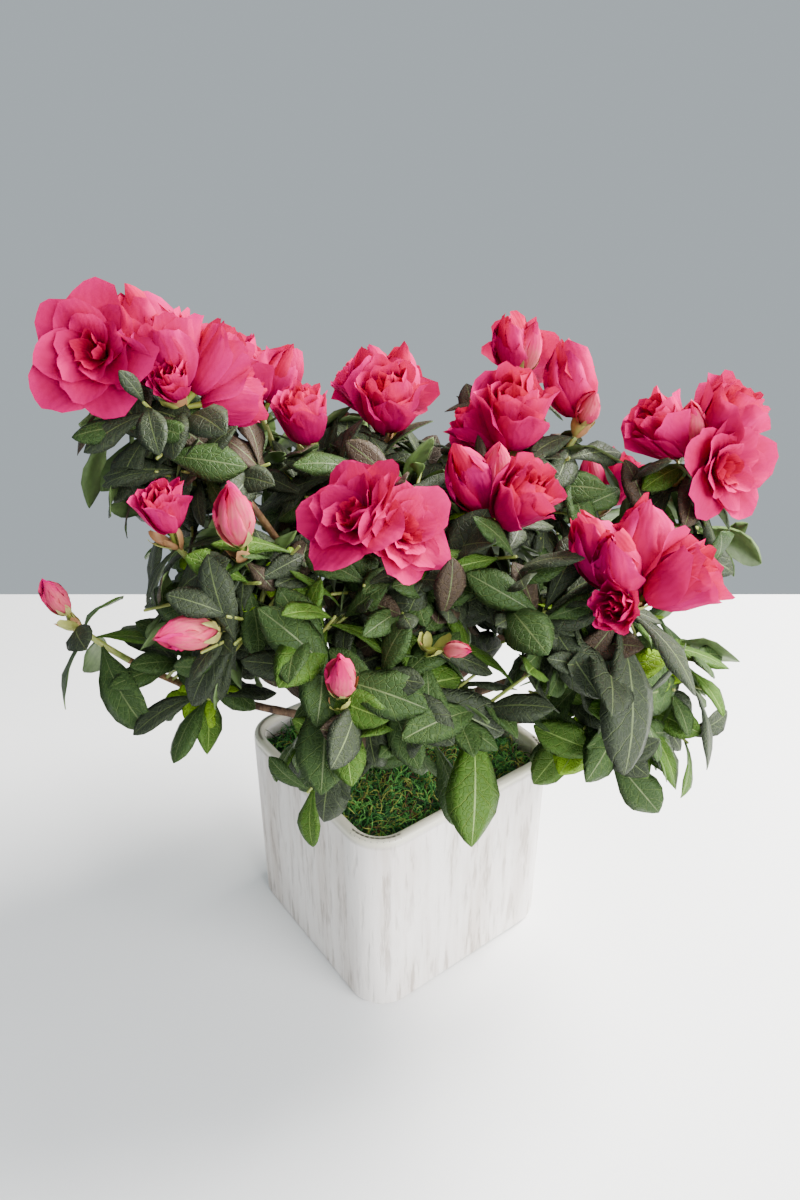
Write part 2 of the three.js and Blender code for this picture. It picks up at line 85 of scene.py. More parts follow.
# %% Floor
TABLE_WIDE, TABLE_DEEP, TABLE_GAP = 1.16, 0.652, 0.0003
bpy.ops.object.select_all(action="DESELECT")
bpy.ops.mesh.primitive_plane_add(size=1, location=(0, 0, -TABLE_GAP), rotation=(0, 0, SHRUB_TURN))
floor = bpy.context.object
floor.scale = (TABLE_WIDE, TABLE_DEEP, 1)
bpy.ops.object.transform_apply(location=True, rotation=True, scale=True)
floor.name = "floor"

# %% Lights
SKY, SKY_STRENGTH = (0.40, 0.45, 0.48, 1), 1.1
CROWN_MIDDLE = (0, 0, 0.2)
world = bpy.data.worlds.new("studio")
bpy.context.scene.world = world
world.use_nodes = True
background = world.node_tree.nodes["Background"]
background.inputs["Color"].default_value = SKY
background.inputs["Strength"].default_value = SKY_STRENGTH


def soft_light(name, place, watts, size, colour=(1, 1, 1)):
    """A square soft box at a place in the shrub's frame, in millimetres, aimed at the crown."""
    light = bpy.data.lights.new(name, "AREA")
    light.energy = watts
    light.size = size
    light.color = colour
    lamp = bpy.data.objects.new(name, light)
    bpy.context.collection.objects.link(lamp)
    lamp.location = in_pot_frame(place)
    aim = Vector(CROWN_MIDDLE) - lamp.location
    lamp.rotation_euler = aim.to_track_quat("-Z", "Y").to_euler()
    return lamp


soft_light("window", (620, 330, 900), 54, 0.5, (1, 0.98, 0.95))
soft_light("right_fill", (760, -760, 560), 29, 0.9, (0.99, 0.99, 1))
soft_light("front_fill", (240, -900, 760), 3, 1.2, (0.98, 0.99, 1))

# %% [markdown]
# ## Writing finishes as sums
#
# A material's pattern is arithmetic on numbers that vary over the surface. Wrapping a socket in a small
# class whose operators add Math nodes lets that arithmetic be written as ordinary Python.

# %% Numbers and finishes
class Number:
    """A socket that holds a number, with arithmetic that adds Math nodes."""

    def __init__(self, finish, socket):
        self.finish, self.socket = finish, socket

    def __add__(self, other):
        return self.finish.math("ADD", self, other)

    def __radd__(self, other):
        return self.finish.math("ADD", other, self)

    def __sub__(self, other):
        return self.finish.math("SUBTRACT", self, other)

    def __rsub__(self, other):
        return self.finish.math("SUBTRACT", other, self)

    def __mul__(self, other):
        return self.finish.math("MULTIPLY", self, other)

    def __rmul__(self, other):
        return self.finish.math("MULTIPLY", other, self)


class Finish:
    """A material and its Principled shader. Constants are set on the shader's own sockets."""

    def __init__(self, name, **constants):
        self.material = bpy.data.materials.new(name)
        self.material.use_nodes = True
        self.tree = self.material.node_tree
        self.shader = self.tree.nodes["Principled BSDF"]
        for socket, value in constants.items():
            self.shader.inputs[socket.replace("_", " ")].default_value = value

    def node(self, kind, settings=None, inputs=None, output=0):
        """Adds a node, sets it up, fills or links its sockets, and gives one output."""
        made = self.tree.nodes.new(kind)
        for name, value in (settings or {}).items():
            setattr(made, name, value)
        for name, value in (inputs or {}).items():
            self.fill(made.inputs[name], value)
        return Number(self, made.outputs[output])

    def math(self, operation, *values):
        """A Math node that works on one or two numbers."""
        return self.node("ShaderNodeMath", {"operation": operation}, dict(enumerate(values)))

    def fill(self, socket, value):
        if isinstance(value, Number):
            self.tree.links.new(value.socket, socket)
        else:
            socket.default_value = value

    def place(self, scale=(1, 1, 1), source="Object"):
        """The surface's own coordinates, stretched."""
        where = self.node("ShaderNodeTexCoord", output=source)
        return self.node("ShaderNodeMapping", {}, {"Vector": where, "Scale": scale})

    def across_and_along(self):
        """How far across and along its own leaf or petal a point lies, 0 to 1, from the UV map."""
        where = self.node("ShaderNodeUVMap", {"uv_map": "place"})
        return [self.node("ShaderNodeSeparateXYZ", {}, {0: where}, output=axis) for axis in (0, 1)]

    def noise(self, where, scale, detail=3.0, roughness=0.55):
        return self.node("ShaderNodeTexNoise", {}, {
            "Vector": where, "Scale": scale, "Detail": detail, "Roughness": roughness})

    def blend(self, share, first, second):
        """The first colour where share is 0 and the second where it is 1."""
        return self.node("ShaderNodeMix", {"data_type": "RGBA", "clamp_factor": True},
                         {0: share, 6: first, 7: second}, output=2)

    def steps(self, value, low, high):
        """0 below low, 1 above high, and smooth between them."""
        return self.node("ShaderNodeMapRange", {"interpolation_type": "SMOOTHSTEP"}, {
            "Value": value, "From Min": low, "From Max": high})

    def relief(self, height, depth, strength=1.0):
        return self.node("ShaderNodeBump", {}, {"Height": height, "Distance": depth, "Strength": strength})

    def feed(self, **sockets):
        for name, value in sockets.items():
            self.fill(self.shader.inputs[name.replace("_", " ")], value)
        return self

    def let_light_through(self, colour, share):
        """Adds the light that shines through a thin petal from behind."""
        through = self.node("ShaderNodeBsdfTranslucent", {}, {"Color": colour})
        mixed = self.node("ShaderNodeMixShader", {}, {
            0: share, 1: Number(self, self.shader.outputs[0]), 2: through})
        output = self.tree.nodes["Material Output"]
        self.tree.links.new(mixed.socket, output.inputs["Surface"])
        return self


def paint(red, green, blue):
    """A colour given as it looks on a screen, 0 to 255, as the shader's linear numbers."""
    linear = [((v / 255 + 0.055) / 1.055) ** 2.4 if v > 10 else v / 255 / 12.92 for v in (red, green, blue)]
    return (*linear, 1)


def darker(colour, share):
    return (*(part * share for part in colour[:3]), 1)


def mottled(name, colour, other, roughness, grain=320, low=0.35, depth=0.0003):
    """A dull finish with soft blotches of another tint, slightly raised."""
    finish = Finish(name, Roughness=roughness)
    mottle = finish.noise(finish.place(), grain, 3)
    finish.feed(Base_Color=finish.blend(finish.steps(mottle, low, 0.7), colour, other),
                Normal=finish.relief(mottle, depth, 0.5))
    return finish.material


def plain_finish(name, colour, roughness, grain=260, depth=0.0003):
    return mottled(name, colour, darker(colour, 0.72), roughness, grain, 0.3, depth)


# %% Floor finish
floor_finish = Finish("pale_floor", Roughness=0.7)
cloud = floor_finish.noise(floor_finish.place(), 6, 4)
floor_finish.feed(Base_Color=floor_finish.blend(cloud, paint(242, 242, 242), paint(250, 250, 249)))
floor.data.materials.append(floor_finish.material)
print("finishes:", len(bpy.data.materials))

# %% [markdown]
# ## The pot
#
# The pot is cast ceramic, square with round corners, with a faint upright grain pressed into its walls
# and a smooth glazed rim. It is modelled as one box: the upright edges are rounded, the top is inset and
# pushed down for the inside, and the edges left at the rim, the foot and inside are rounded in turn.

# %% Pot dimensions and edge picking
POT = dict(side=108, corner=17, height=100, wall=5, floor=7, edge=2)


def pick(mesh_object, test, kind="EDGE"):
    """Selects in edit mode the edges or faces whose corners pass a test on their place in millimetres."""
    bpy.ops.mesh.select_mode(type=kind)
    bpy.ops.mesh.select_all(action="DESELECT")
    made = bmesh.from_edit_mesh(mesh_object.data)
    parts = made.edges if kind == "EDGE" else made.faces
    found = 0
    for part in parts:
        chosen = test([tuple(value / MM for value in corner.co) for corner in part.verts])
        part.select_set(chosen)
        found += chosen
    bmesh.update_edit_mesh(mesh_object.data)
    return found


def level(z, corners, near=0.2):
    return all(abs(corner[2] - z) < near for corner in corners)


# %% Model the pot
def model_pot():
    bpy.ops.object.select_all(action="DESELECT")
    bpy.ops.mesh.primitive_cube_add(size=1, location=(0, 0, POT["height"] / 2 * MM))
    pot = bpy.context.object
    pot.name = "pot_body"
    pot.scale = (POT["side"] * MM, POT["side"] * MM, POT["height"] * MM)
    bpy.ops.object.transform_apply(location=True, rotation=True, scale=True)
    bpy.ops.object.mode_set(mode="EDIT")
    print("upright edges:", pick(pot, lambda ends: abs(ends[0][2] - ends[1][2]) > POT["height"] / 2))
    bpy.ops.mesh.bevel(offset=POT["corner"] * MM, segments=10, affect="EDGES")
    pick(pot, lambda corners: level(POT["height"], corners), "FACE")
    bpy.ops.mesh.inset(thickness=POT["wall"] * MM)
    bpy.ops.mesh.extrude_region_move(
        TRANSFORM_OT_translate={"value": (0, 0, (POT["floor"] - POT["height"]) * MM)})
    turns = lambda corners: any(level(z, corners) for z in (0, POT["floor"], POT["height"]))
    print("edges at the rim and the foot:", pick(pot, turns))
    bpy.ops.mesh.bevel(offset=POT["edge"] * MM, segments=4, affect="EDGES")
    bpy.ops.mesh.select_all(action="SELECT")
    bpy.ops.mesh.normals_make_consistent(inside=False)
    bpy.ops.object.mode_set(mode="OBJECT")
    bpy.ops.object.shade_smooth_by_angle(angle=math.radians(40))
    return pot


pot = model_pot()
print("pot faces:", len(pot.data.polygons))

# %% [markdown]
# The walls' grain is noise stretched along the height, in two sizes: broad pale-brown streaks, and thin
# dark ones that are also pressed in as relief. Near the rim the streaks fade into the smooth cream glaze.

# %% Pot finish
RIM_FROM, RIM_TO = 0.0955, 0.0985


def ceramic():
    finish = Finish("ceramic", Coat_Roughness=0.25, Specular_IOR_Level=0.45)
    where = finish.place((1, 1, 0.1))
    wander = finish.noise(finish.place((1, 1, 0.4)), 16, 2)
    streak = finish.noise(where, 75, 4, 0.66) * 0.75 + wander * 0.25
    thin = finish.noise(finish.place((1, 1, 0.14)), 300, 3, 0.6)
    broad_mask = finish.steps(streak, 0.42, 0.66)
    thin_mask = finish.steps(thin, 0.5, 0.68)
    height = finish.node("ShaderNodeSeparateXYZ", {}, {0: finish.place()}, output=2)
    rim = finish.steps(height, RIM_FROM, RIM_TO)
    wall = 1 - rim
    chalk = finish.blend(broad_mask * 0.85, paint(240, 234, 229), paint(206, 194, 184))
    grained = finish.blend(thin_mask * (broad_mask * 0.7 + 0.25), chalk, paint(166, 152, 140))
    dents = finish.noise(finish.place(), 38, 2)
    relief = (1 - streak) + (1 - thin_mask) * 0.4 + dents * 1.6
    finish.feed(Base_Color=finish.blend(rim, grained, paint(228, 222, 202)),
                Roughness=wall * 0.28 + 0.22 + wall * streak * 0.1,
                Coat_Weight=rim * 0.6,
                Normal=finish.relief(relief * wall, 0.0011, 0.6))
    return finish.material


pot.data.materials.append(ceramic())
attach(pot, "root")
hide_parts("pot")

# %% [markdown]
# ## The shrub's plan
#
# The crown is a set of sprays, one to each bough. Every spray keeps to its own space, so a spray can be
# read, and changed, by itself. This is the plan that the solids were grown from: where each shoot's tip
# stands, how many leaves it has, how long they are and how many side twigs leave it. Then come its
# flowers, each as kind, bearing, lean from upright and size in millimetres. FITS lists the forms that a
# leaf may take to keep clear, as a share of its length and a lift in degrees.

# %% The plan
FILL_TOP = 96
CLEAR = 0.3
TRUNK = dict(foot=10, waist=6.4, tip=4.6, top=137, lean_x=2, lean_y=1.5)
TIERS = dict(low=109, middle=120, high=131)
BOUGH = dict(share=0.5, foot=2.3, tip=1.6, rise=0.42, play=0.1)
STEM = dict(foot=1.6, tip=1.3, fork_at=0.25)
SIDE = dict(foot=1.2, tip=1.1, length=34, shrink=0.78, leaves=4, leaf=30,
            along=(0.34, 0.86), lean=(62, 104), turn_step=1.31, turn_play=40)
LEAF = dict(width=0.42, arch=0.14, droop=0.13)
WHORL = dict(lean=(56, 116), flower_lean=(86, 128), hang=18, spread=15, young=0.56, turn=137.5,
             turn_play=24, lean_play=22)
FITS = dict(free=[(1, 0), (0.95, -18), (0.88, 15), (0.9, -36), (0.76, 30), (0.62, 40)],
            under_flowers=[(1, 0), (0.95, -18), (0.9, -36), (0.8, -8), (0.7, -26), (0.6, -44)])
STALK = 7
SPACE_GAP = 0.8
LIMB_GAP = 1.8
HEART = dict(low=0.35, wide=0.62)
CLEARING = dict(low=(-2, -42, 96), high=(-2, -110, 156), radius=13)
KINDS = dict(bud=dict(wide=0.3, tall=0.9), half=dict(wide=0.45, tall=0.8), open=dict(wide=0.5, tall=0.5))


def shoot(bearing, reach, height, leaves, leaf, sides, *flowers):
    return dict(bearing=bearing, reach=reach, height=height, leaves=leaves, leaf=leaf, sides=sides,
                flowers=flowers)


SPRAYS = {
    "upper_left": ("high", [
        shoot(187, 81, 262, 12, 52, 2, ("half", 180, 8, 33), ("half", 265, 38, 20), ("bud", 155, 25, 42),
              ("half", 28, 42, 32), ("half", 18, 84, 28)),
        shoot(180, 107, 277, 5, 44, 0, ("open", 266, 66, 46))]),
    "left": ("middle", [
        shoot(219, 72, 217, 8, 44, 1, ("bud", 262, 16, 28)),
        shoot(203, 90, 217, 6, 40, 0, ("half", 245, 14, 23)),
        shoot(220, 80, 190, 6, 36, 1, ("bud", 222, 74, 27))]),
    "far_left": ("low", [
        shoot(193, 132, 179, 6, 42, 1, ("bud", 210, 20, 19)),
        shoot(212, 90, 160, 7, 38, 1)]),
    "upper_middle": ("high", [
        shoot(99, 36, 234, 9, 40, 1, ("half", 280, 26, 36), ("bud", 125, 20, 37), ("bud", 54, 20, 36)),
        shoot(151, 41, 232, 7, 36, 1, ("half", 240, 14, 29))]),
    "front_middle": ("middle", [
        shoot(262, 38, 221, 8, 42, 1, ("open", 222, 42, 44), ("open", 304, 58, 37)),
        shoot(325, 44, 219, 8, 42, 1, ("bud", 155, 27, 31), ("bud", 75, 16, 28), ("half", 316, 38, 32)),
        shoot(292, 30, 190, 6, 44, 0)]),
    "upper_right": ("high", [
        shoot(28, 55, 228, 8, 41, 1, ("half", 260, 18, 40), ("half", 166, 48, 28)),
        shoot(22, 83, 239, 8, 41, 1, ("bud", 168, 13, 36), ("bud", 280, 34, 21))]),
    "right": ("middle", [
        shoot(9, 126, 229, 11, 48, 2, ("open", 298, 76, 44), ("half", 186, 44, 33), ("half", 345, 26, 36),
              ("bud", 225, 20, 26))]),
    "front_right": ("middle", [
        shoot(326, 101, 203, 12, 60, 1, ("bud", 148, 36, 34), ("bud", 205, 22, 29), ("bud", 62, 18, 35),
              ("half", 238, 68, 20), ("half", 338, 48, 33)),
        shoot(316, 66, 194, 7, 42, 1)]),
    "low_front": ("low", [
        shoot(256, 80, 174, 8, 52, 1, ("bud", 272, 18, 22)),
        shoot(280, 66, 190, 5, 35, 0, ("bud", 322, 70, 13)),
        shoot(294, 76, 168, 7, 56, 1),
        shoot(238, 66, 193, 7, 42, 1)]),
    "low_right": ("low", [
        shoot(350, 124, 160, 8, 36, 1),
        shoot(338, 90, 142, 7, 46, 1)]),
    "back_left": ("middle", [
        shoot(135, 88, 236, 10, 42, 2, ("open", 120, 48, 44), ("half", 210, 18, 34), ("bud", 30, 30, 30))]),
    "back_right": ("middle", [
        shoot(54, 93, 246, 10, 40, 2, ("bud", 205, 10, 30), ("bud", 330, 14, 28), ("open", 65, 58, 42))]),
    "back_middle": ("middle", [
        shoot(93, 99, 222, 10, 42, 2, ("open", 75, 56, 44), ("half", 160, 40, 32), ("bud", 250, 8, 26)),
        shoot(112, 84, 196, 6, 40, 0)]),
    "low_back_left": ("low", [
        shoot(157, 110, 184, 10, 44, 1, ("half", 165, 30, 30), ("bud", 60, 16, 24))]),
    "low_back_right": ("low", [
        shoot(34, 116, 186, 10, 46, 2, ("half", 20, 34, 30), ("bud", 130, 14, 26))]),
    "low_back": ("low", [
        shoot(87, 106, 168, 8, 44, 1, ("bud", 90, 14, 22)),
        shoot(62, 84, 176, 6, 42, 1)]),
}
print("sprays:", len(SPRAYS), "shoots:", sum(len(shoots) for _, shoots in SPRAYS.values()))

# %% [markdown]
# ## Growing it again
#
# A seeded rule gives the same shrub each time. Directions are given as a bearing and a lean from upright,
# and turned to stand the same way against a shoot. Limbs are quadratic curves, because part of one is
# another.

# %% Directions and curves
UP = np.array([0.0, 0.0, 1.0])
DICE_STEP, DICE_END = 16807, 2147483647


def mix(low, high, share):
    return low + (high - low) * share


def unit(vector):
    return vector / np.linalg.norm(vector)


def units(vectors):
    """Every vector of an array at length one."""
    return vectors / np.maximum(np.linalg.norm(vectors, axis=-1, keepdims=True), 1e-9)


def leaning(bearing, lean):
    """The direction that leans from upright towards a bearing, both in degrees."""
    bearing, lean = math.radians(bearing), math.radians(lean)
    out = math.sin(lean)
    return np.array([out * math.cos(bearing), out * math.sin(bearing), math.cos(lean)])


def turned(way, axis):
    """A direction given against upright, turned to stand the same way against an axis."""
    pivot = np.cross(UP, axis)
    along = UP @ axis
    return way * along + np.cross(pivot, way) + pivot * (pivot @ way) / (1 + along)


def dice(seed):
    """A repeatable run of numbers from 0 to 1."""
    while True:
        seed = seed * DICE_STEP % DICE_END
        yield seed / DICE_END


class Curve:
    """A quadratic curve through its first and last point, or a straight line where no bend is given."""

    def __init__(self, start, end, bend=None):
        self.start, self.end = start, end
        self.bend = (start + end) / 2 if bend is None else bend

    def at(self, t):
        t = np.asarray(t, float)[..., None]
        return (1 - t) ** 2 * self.start + 2 * t * (1 - t) * self.bend + t ** 2 * self.end

    def heading(self, t):
        t = np.asarray(t, float)[..., None]
        return units((1 - t) * (self.bend - self.start) + t * (self.end - self.bend))

    def part(self, low, high):
        bend = ((1 - low) * (1 - high) * self.start + (low + high - 2 * low * high) * self.bend
                + low * high * self.end)
        return Curve(self.at(low), self.at(high), bend)

    def length(self):
        points = self.at(np.linspace(0, 1, 201))
        return np.linalg.norm(np.diff(points, axis=0), axis=1).sum()


# %% [markdown]
# The trunk leans a little and flares at its foot. Each bough starts at its side, at one of three heights,
# and runs out and up to its spray's first shoot. Half way along it becomes that spray's stem.

# %% Limb lines
TIP_LEAN, TIP_LEAN_REACH = 0.15, 210
trunk_end = np.array([TRUNK["lean_x"], TRUNK["lean_y"], TRUNK["top"]])
trunk_line = Curve(np.array([0, 0, FILL_TOP + CLEAR]), trunk_end)


def trunk_radius(t):
    flare = (TRUNK["foot"] - TRUNK["waist"]) * np.maximum(0, 1 - 3 * t) ** 2
    return mix(TRUNK["waist"], TRUNK["tip"], t) + flare


def shoot_tip(plan):
    """Where a shoot's tip stands and which way it points: the farther out, the more it leans."""
    out = leaning(plan["bearing"], 90)
    axis = unit(out * (TIP_LEAN + plan["reach"] / TIP_LEAN_REACH) + UP)
    return out * plan["reach"] + UP * plan["height"], axis


def limb_curve(start, tip):
    place, axis = tip
    return Curve(start, place, place - axis * BOUGH["rise"] * np.linalg.norm(place - start))


def spray_curve(tier, plan):
    tip = shoot_tip(plan)
    t = (TIERS[tier] - trunk_line.start[2]) / (TRUNK["top"] - trunk_line.start[2])
    out = leaning(plan["bearing"], 90)
    start = trunk_line.at(t) + out * trunk_radius(t)
    slope = abs(limb_curve(start, tip).heading(0)[2])
    return limb_curve(start + out * (CLEAR + BOUGH["foot"] * slope + BOUGH["play"]), tip)


whole_lines = [spray_curve(tier, shoots[0]) for tier, shoots in SPRAYS.values()]
bough_lines = [line.part(0, BOUGH["share"]) for line in whole_lines]
stem_lines = [line.part(BOUGH["share"] + CLEAR / line.length(), 1) for line in whole_lines]
print("boughs:", len(bough_lines), "longest", round(max(line.length() for line in bough_lines)), "mm")


# %% [markdown]
# A shoot ends in a whorl: leaves set round it at the golden angle, the young ones near the tip short and
# upright, the old ones below long and drooping. Side twigs leave it lower down and end in smaller whorls.
# The draws are taken in the same order as for the solids, so each leaf falls where its solid does.

# %% Whorls and side twigs
SPRAY_SEED = 7919


def grow_whorl(roll, line, axis, count, longest, bearing, under_flowers=False):
    leaves = []
    near_lean, far_lean = WHORL["flower_lean" if under_flowers else "lean"]
    start = bearing + 360 * next(roll)
    span = WHORL["spread"] / np.linalg.norm(line.end - line.start)
    for i in range(count):
        age = (i + 0.5) / count
        around = start + WHORL["turn"] * i + WHORL["turn_play"] * (next(roll) - 0.5)
        lean = mix(near_lean, far_lean, age) + WHORL["lean_play"] * (next(roll) - 0.5)
        length = longest * mix(WHORL["young"], 1, math.sqrt(age)) * (0.86 + 0.28 * next(roll))
        width = LEAF["width"] * (0.9 + 0.25 * next(roll))
        leaves.append(dict(foot=line.at(1 - span * age), way=turned(leaning(around, lean), axis), axis=axis,
                           length=length, width=width, forms="under_flowers" if under_flowers else "free"))
    return leaves


def grow_side_twig(roll, line, axis, order, plan):
    start = line.at(mix(*SIDE["along"], next(roll)))
    turn = WHORL["turn"] * (order + 1) * SIDE["turn_step"]
    around = plan["bearing"] + turn + SIDE["turn_play"] * (next(roll) - 0.5)
    lean = mix(*SIDE["lean"], next(roll))
    length = SIDE["length"] * (0.8 + 0.45 * next(roll))
    way = turned(leaning(around, lean), axis)
    twig = Curve(start, start + way * length)
    longest = max(SIDE["leaf"], plan["leaf"] * SIDE["shrink"])
    whorl = grow_whorl(roll, twig, unit(way + UP * 0.55), SIDE["leaves"], longest, plan["bearing"])
    return dict(line=twig, radii=(SIDE["foot"], SIDE["tip"]), main=False, leaves=whorl)


def grow_spray(index, shoots):
    """A spray as plain data: its twigs, each with the leaves that it carries, and its flowers."""
    roll = dice(SPRAY_SEED * (index + 3))
    twigs, flowers = [], []
    for order, plan in enumerate(shoots):
        place, axis = shoot_tip(plan)
        stem = stem_lines[index]
        line = stem if order == 0 else limb_curve(stem.at(STEM["fork_at"] * order), (place, axis))
        radii = (STEM["foot"] if order == 0 else STEM["tip"], STEM["tip"])
        whorl = grow_whorl(roll, line, axis, plan["leaves"], plan["leaf"], plan["bearing"],
                           under_flowers=len(plan["flowers"]) > 0)
        twigs.append(dict(line=line, radii=radii, main=True, leaves=whorl, axis=axis, plan=plan))
        flowers += [dict(kind=kind, foot=place, way=leaning(bearing, lean), size=size)
                    for kind, bearing, lean, size in plan["flowers"]]
        twigs += [grow_side_twig(roll, line, axis, k, plan) for k in range(plan["sides"])]
    return twigs, flowers


growths = [grow_spray(index, shoots) for index, (_, shoots) in enumerate(SPRAYS.values())]
print("leaves drawn:", sum(len(twig["leaves"]) for twigs, _ in growths for twig in twigs))

# %% [markdown]
# ## Keeping to its own space
#
# A leaf stays if every point of it lies nearer to its own spray than to any other, out of the pot, and
# clear of the limbs, of other sprays' stems, of the flowers, and of a clearing in front of the trunk. If
# it doesn't fit as grown, shorter and steeper forms are tried. Testing all points of a leaf against all
# obstacles at once, as arrays, keeps this quick.

# %% Seats and obstacles
def seat(plan):
    """The middle of a shoot's leaves: its tip, or lower under flowers, where the leaves hang."""
    place, _ = shoot_tip(plan)
    return place - UP * (WHORL["hang"] if plan["flowers"] else 0)


seats = np.array([seat(plan) for _, shoots in SPRAYS.values() for plan in shoots])
seat_owner = np.array([i for i, (_, shoots) in enumerate(SPRAYS.values()) for _ in shoots])


def in_own_space(points, index, gap):
    """Whether all points lie in a spray's own space by a gap. A negative gap lets them past its edge."""
    squares = ((points[:, None] - seats[None]) ** 2).sum(2)
    own = np.where(seat_owner == index, squares, np.inf).argmin(1)
    apart = np.linalg.norm(seats[None] - seats[own][:, None], axis=2)
    past = (squares - squares[np.arange(len(points)), own][:, None]) / np.maximum(2 * apart, 1e-9)
    return (past > gap)[:, seat_owner != index].all()


def in_pot(points):
    flat = np.abs(points @ TURN.T)
    reach = POT["side"] / 2 + 2
    return ((points[:, 2] < POT["height"] + 4) & (flat[:, 0] < reach) & (flat[:, 1] < reach)).any()


def bars(curve, radius, count):
    points = curve.at(np.linspace(0, 1, count + 1))
    return [(low, high, radius) for low, high in zip(points, points[1:])]


def obstacles(index):
    """What a spray's leaves keep clear of, as bars with a radius: of its own flowers only the heart."""
    clearing = Curve(np.array(CLEARING["low"], float), np.array(CLEARING["high"], float))
    found = bars(trunk_line, TRUNK["foot"], 1) + bars(clearing, CLEARING["radius"], 1)
    for i, line in enumerate(bough_lines):
        found += bars(line, BOUGH["foot"], 4)
        own = i == index
        twigs, flowers = growths[i]
        for twig in twigs:
            if twig["main"] and not own:
                found += bars(twig["line"], STEM["foot"], 5)
        for flower in flowers:
            kind = KINDS[flower["kind"]]
            foot = flower["foot"] + flower["way"] * STALK
            low = foot + flower["way"] * flower["size"] * (HEART["low"] if own else 0)
            high = foot + flower["way"] * flower["size"] * kind["tall"]
            found.append((low, high, flower["size"] * kind["wide"] * (HEART["wide"] if own else 1)))
    low, high, radius = zip(*found)
    return np.array(low), np.array(high), np.array(radius)


def clear_of(points, around):
    low, high, radius = around
    run = high - low
    share = ((points[:, None] - low) * run).sum(2) / (run ** 2).sum(1)
    nearest = low + run * np.clip(share, 0, 1)[..., None]
    return (np.linalg.norm(points[:, None] - nearest, axis=2) > radius + LIMB_GAP).all()


def keeps_clear(points, index, around, gap):
    return not in_pot(points) and in_own_space(points, index, gap) and clear_of(points, around)


# %% Leaf form and fit
def leaf_outline(t):
    """The share of a leaf's greatest width at a share of its length."""
    inside = np.clip(t, 1e-9, 1 - 1e-9)
    return np.where((t <= 0) | (t >= 1), 0, np.sin(np.pi * inside ** 1.25) ** 0.8)


def upper_side(leaf):
    return unit(leaf["axis"] - leaf["way"] * (leaf["axis"] @ leaf["way"]))


def midrib(leaf):
    normal = upper_side(leaf)
    middle = leaf["foot"] + leaf["way"] * leaf["length"] * 0.5 + normal * leaf["length"] * LEAF["arch"]
    tip = leaf["foot"] + leaf["way"] * leaf["length"] * 0.97 - normal * leaf["length"] * LEAF["droop"]
    return Curve(leaf["foot"], tip, middle)


def leaf_points(leaf):
    t = np.array([0.2, 0.32, 0.44, 0.56, 0.68, 0.8, 0.9, 1])
    across = unit(np.cross(leaf["axis"], leaf["way"]))
    wide = leaf["length"] * leaf["width"] * leaf_outline(t) / 2
    off = wide[:, None] * np.array([-1, -0.5, 0, 0.5, 1])
    return (midrib(leaf).at(t)[:, None] + across * off[..., None]).reshape(-1, 3)


def fitted(leaf, index, around, gap):
    """The first form of a leaf that keeps clear, or None."""
    normal = upper_side(leaf)
    for share, lift in FITS[leaf["forms"]]:
        lift = math.radians(lift)
        way = leaf["way"] * math.cos(lift) + normal * math.sin(lift)
        form = dict(leaf, length=leaf["length"] * share, way=way)
        if keeps_clear(leaf_points(form), index, around, gap):
            return form
    return None


def settle(twig, index, around, gap=SPACE_GAP):
    """A twig with only the leaves that fit, or None where the twig itself doesn't."""
    points = twig["line"].at(np.array([0.2, 0.4, 0.6, 0.8, 1]))
    if not twig["main"] and not keeps_clear(points, index, around, gap):
        return None
    forms = [fitted(leaf, index, around, gap) for leaf in twig["leaves"]]
    return dict(twig, leaves=[form for form in forms if form])


surroundings = [obstacles(index) for index in range(len(SPRAYS))]
settled = []
for index, (twigs, _) in enumerate(growths):
    kept = [settle(twig, index, surroundings[index]) for twig in twigs]
    settled.append([twig for twig in kept if twig])
print("leaves kept:", sum(len(twig["leaves"]) for twigs in settled for twig in twigs))

# %% [markdown]
# The solids hold as many leaves as they can. The real crown is denser, so twigs and boughs carry finer
# twigs: short shoots with a few small leaves, drawn from dice of their own. They pass the same tests and
# keep within the reach of their spray, but may stand a little way into a neighbour's space, so that no
# bare seam shows between two sprays. Some are young tufts, short, upright and yellow-green, mostly low
# down.

# %% Finer twigs
FINER_SEED = 104729
FINE_RADII = (0.8, 0.6)
FINE = dict(length=(14, 34), leaf=(29, 50), lean=(40, 100), leaves=5)
TUFT = dict(length=(7, 14), leaf=(11, 20), lean=(20, 70), leaves=6)
TUFT_SHARE = dict(high=0.04, middle=0.08, low=0.2)
FINER_ON_STEM, FINER_ON_SIDE = 12, 4
FINER_ON = dict(front_middle=20, upper_middle=18, low_front=7, far_left=3, front_right=8, upper_left=9)
UNDER_WHORL, ALL_ALONG = (0.04, 0.62), (0.2, 0.97)
BOUGH_TWIGS = 8
FINER_ON_BOUGH = dict(front_middle=16, upper_middle=12, front_right=14, low_front=6, far_left=3,
                      low_right=5)
BOUGH_BARE = 0.4
PAST_REACH = 3
OVERLAP = 7


def reach_of(index):
    """The lowest and highest corner that a spray may reach to, in the pot's own directions."""
    points = [leaf_points(leaf) for twig in settled[index] for leaf in twig["leaves"]]
    points += [[flower["foot"] + flower["way"] * flower["size"]] for flower in growths[index][1]]
    points += [twig["line"].at(np.array([0, 1])) for twig in settled[index]]
    points = np.concatenate(points) @ TURN.T
    return points.min(0) - PAST_REACH, points.max(0) + PAST_REACH


def within_reach(leaf, reach):
    points = leaf_points(leaf) @ TURN.T
    return (points > reach[0]).all() and (points < reach[1]).all()


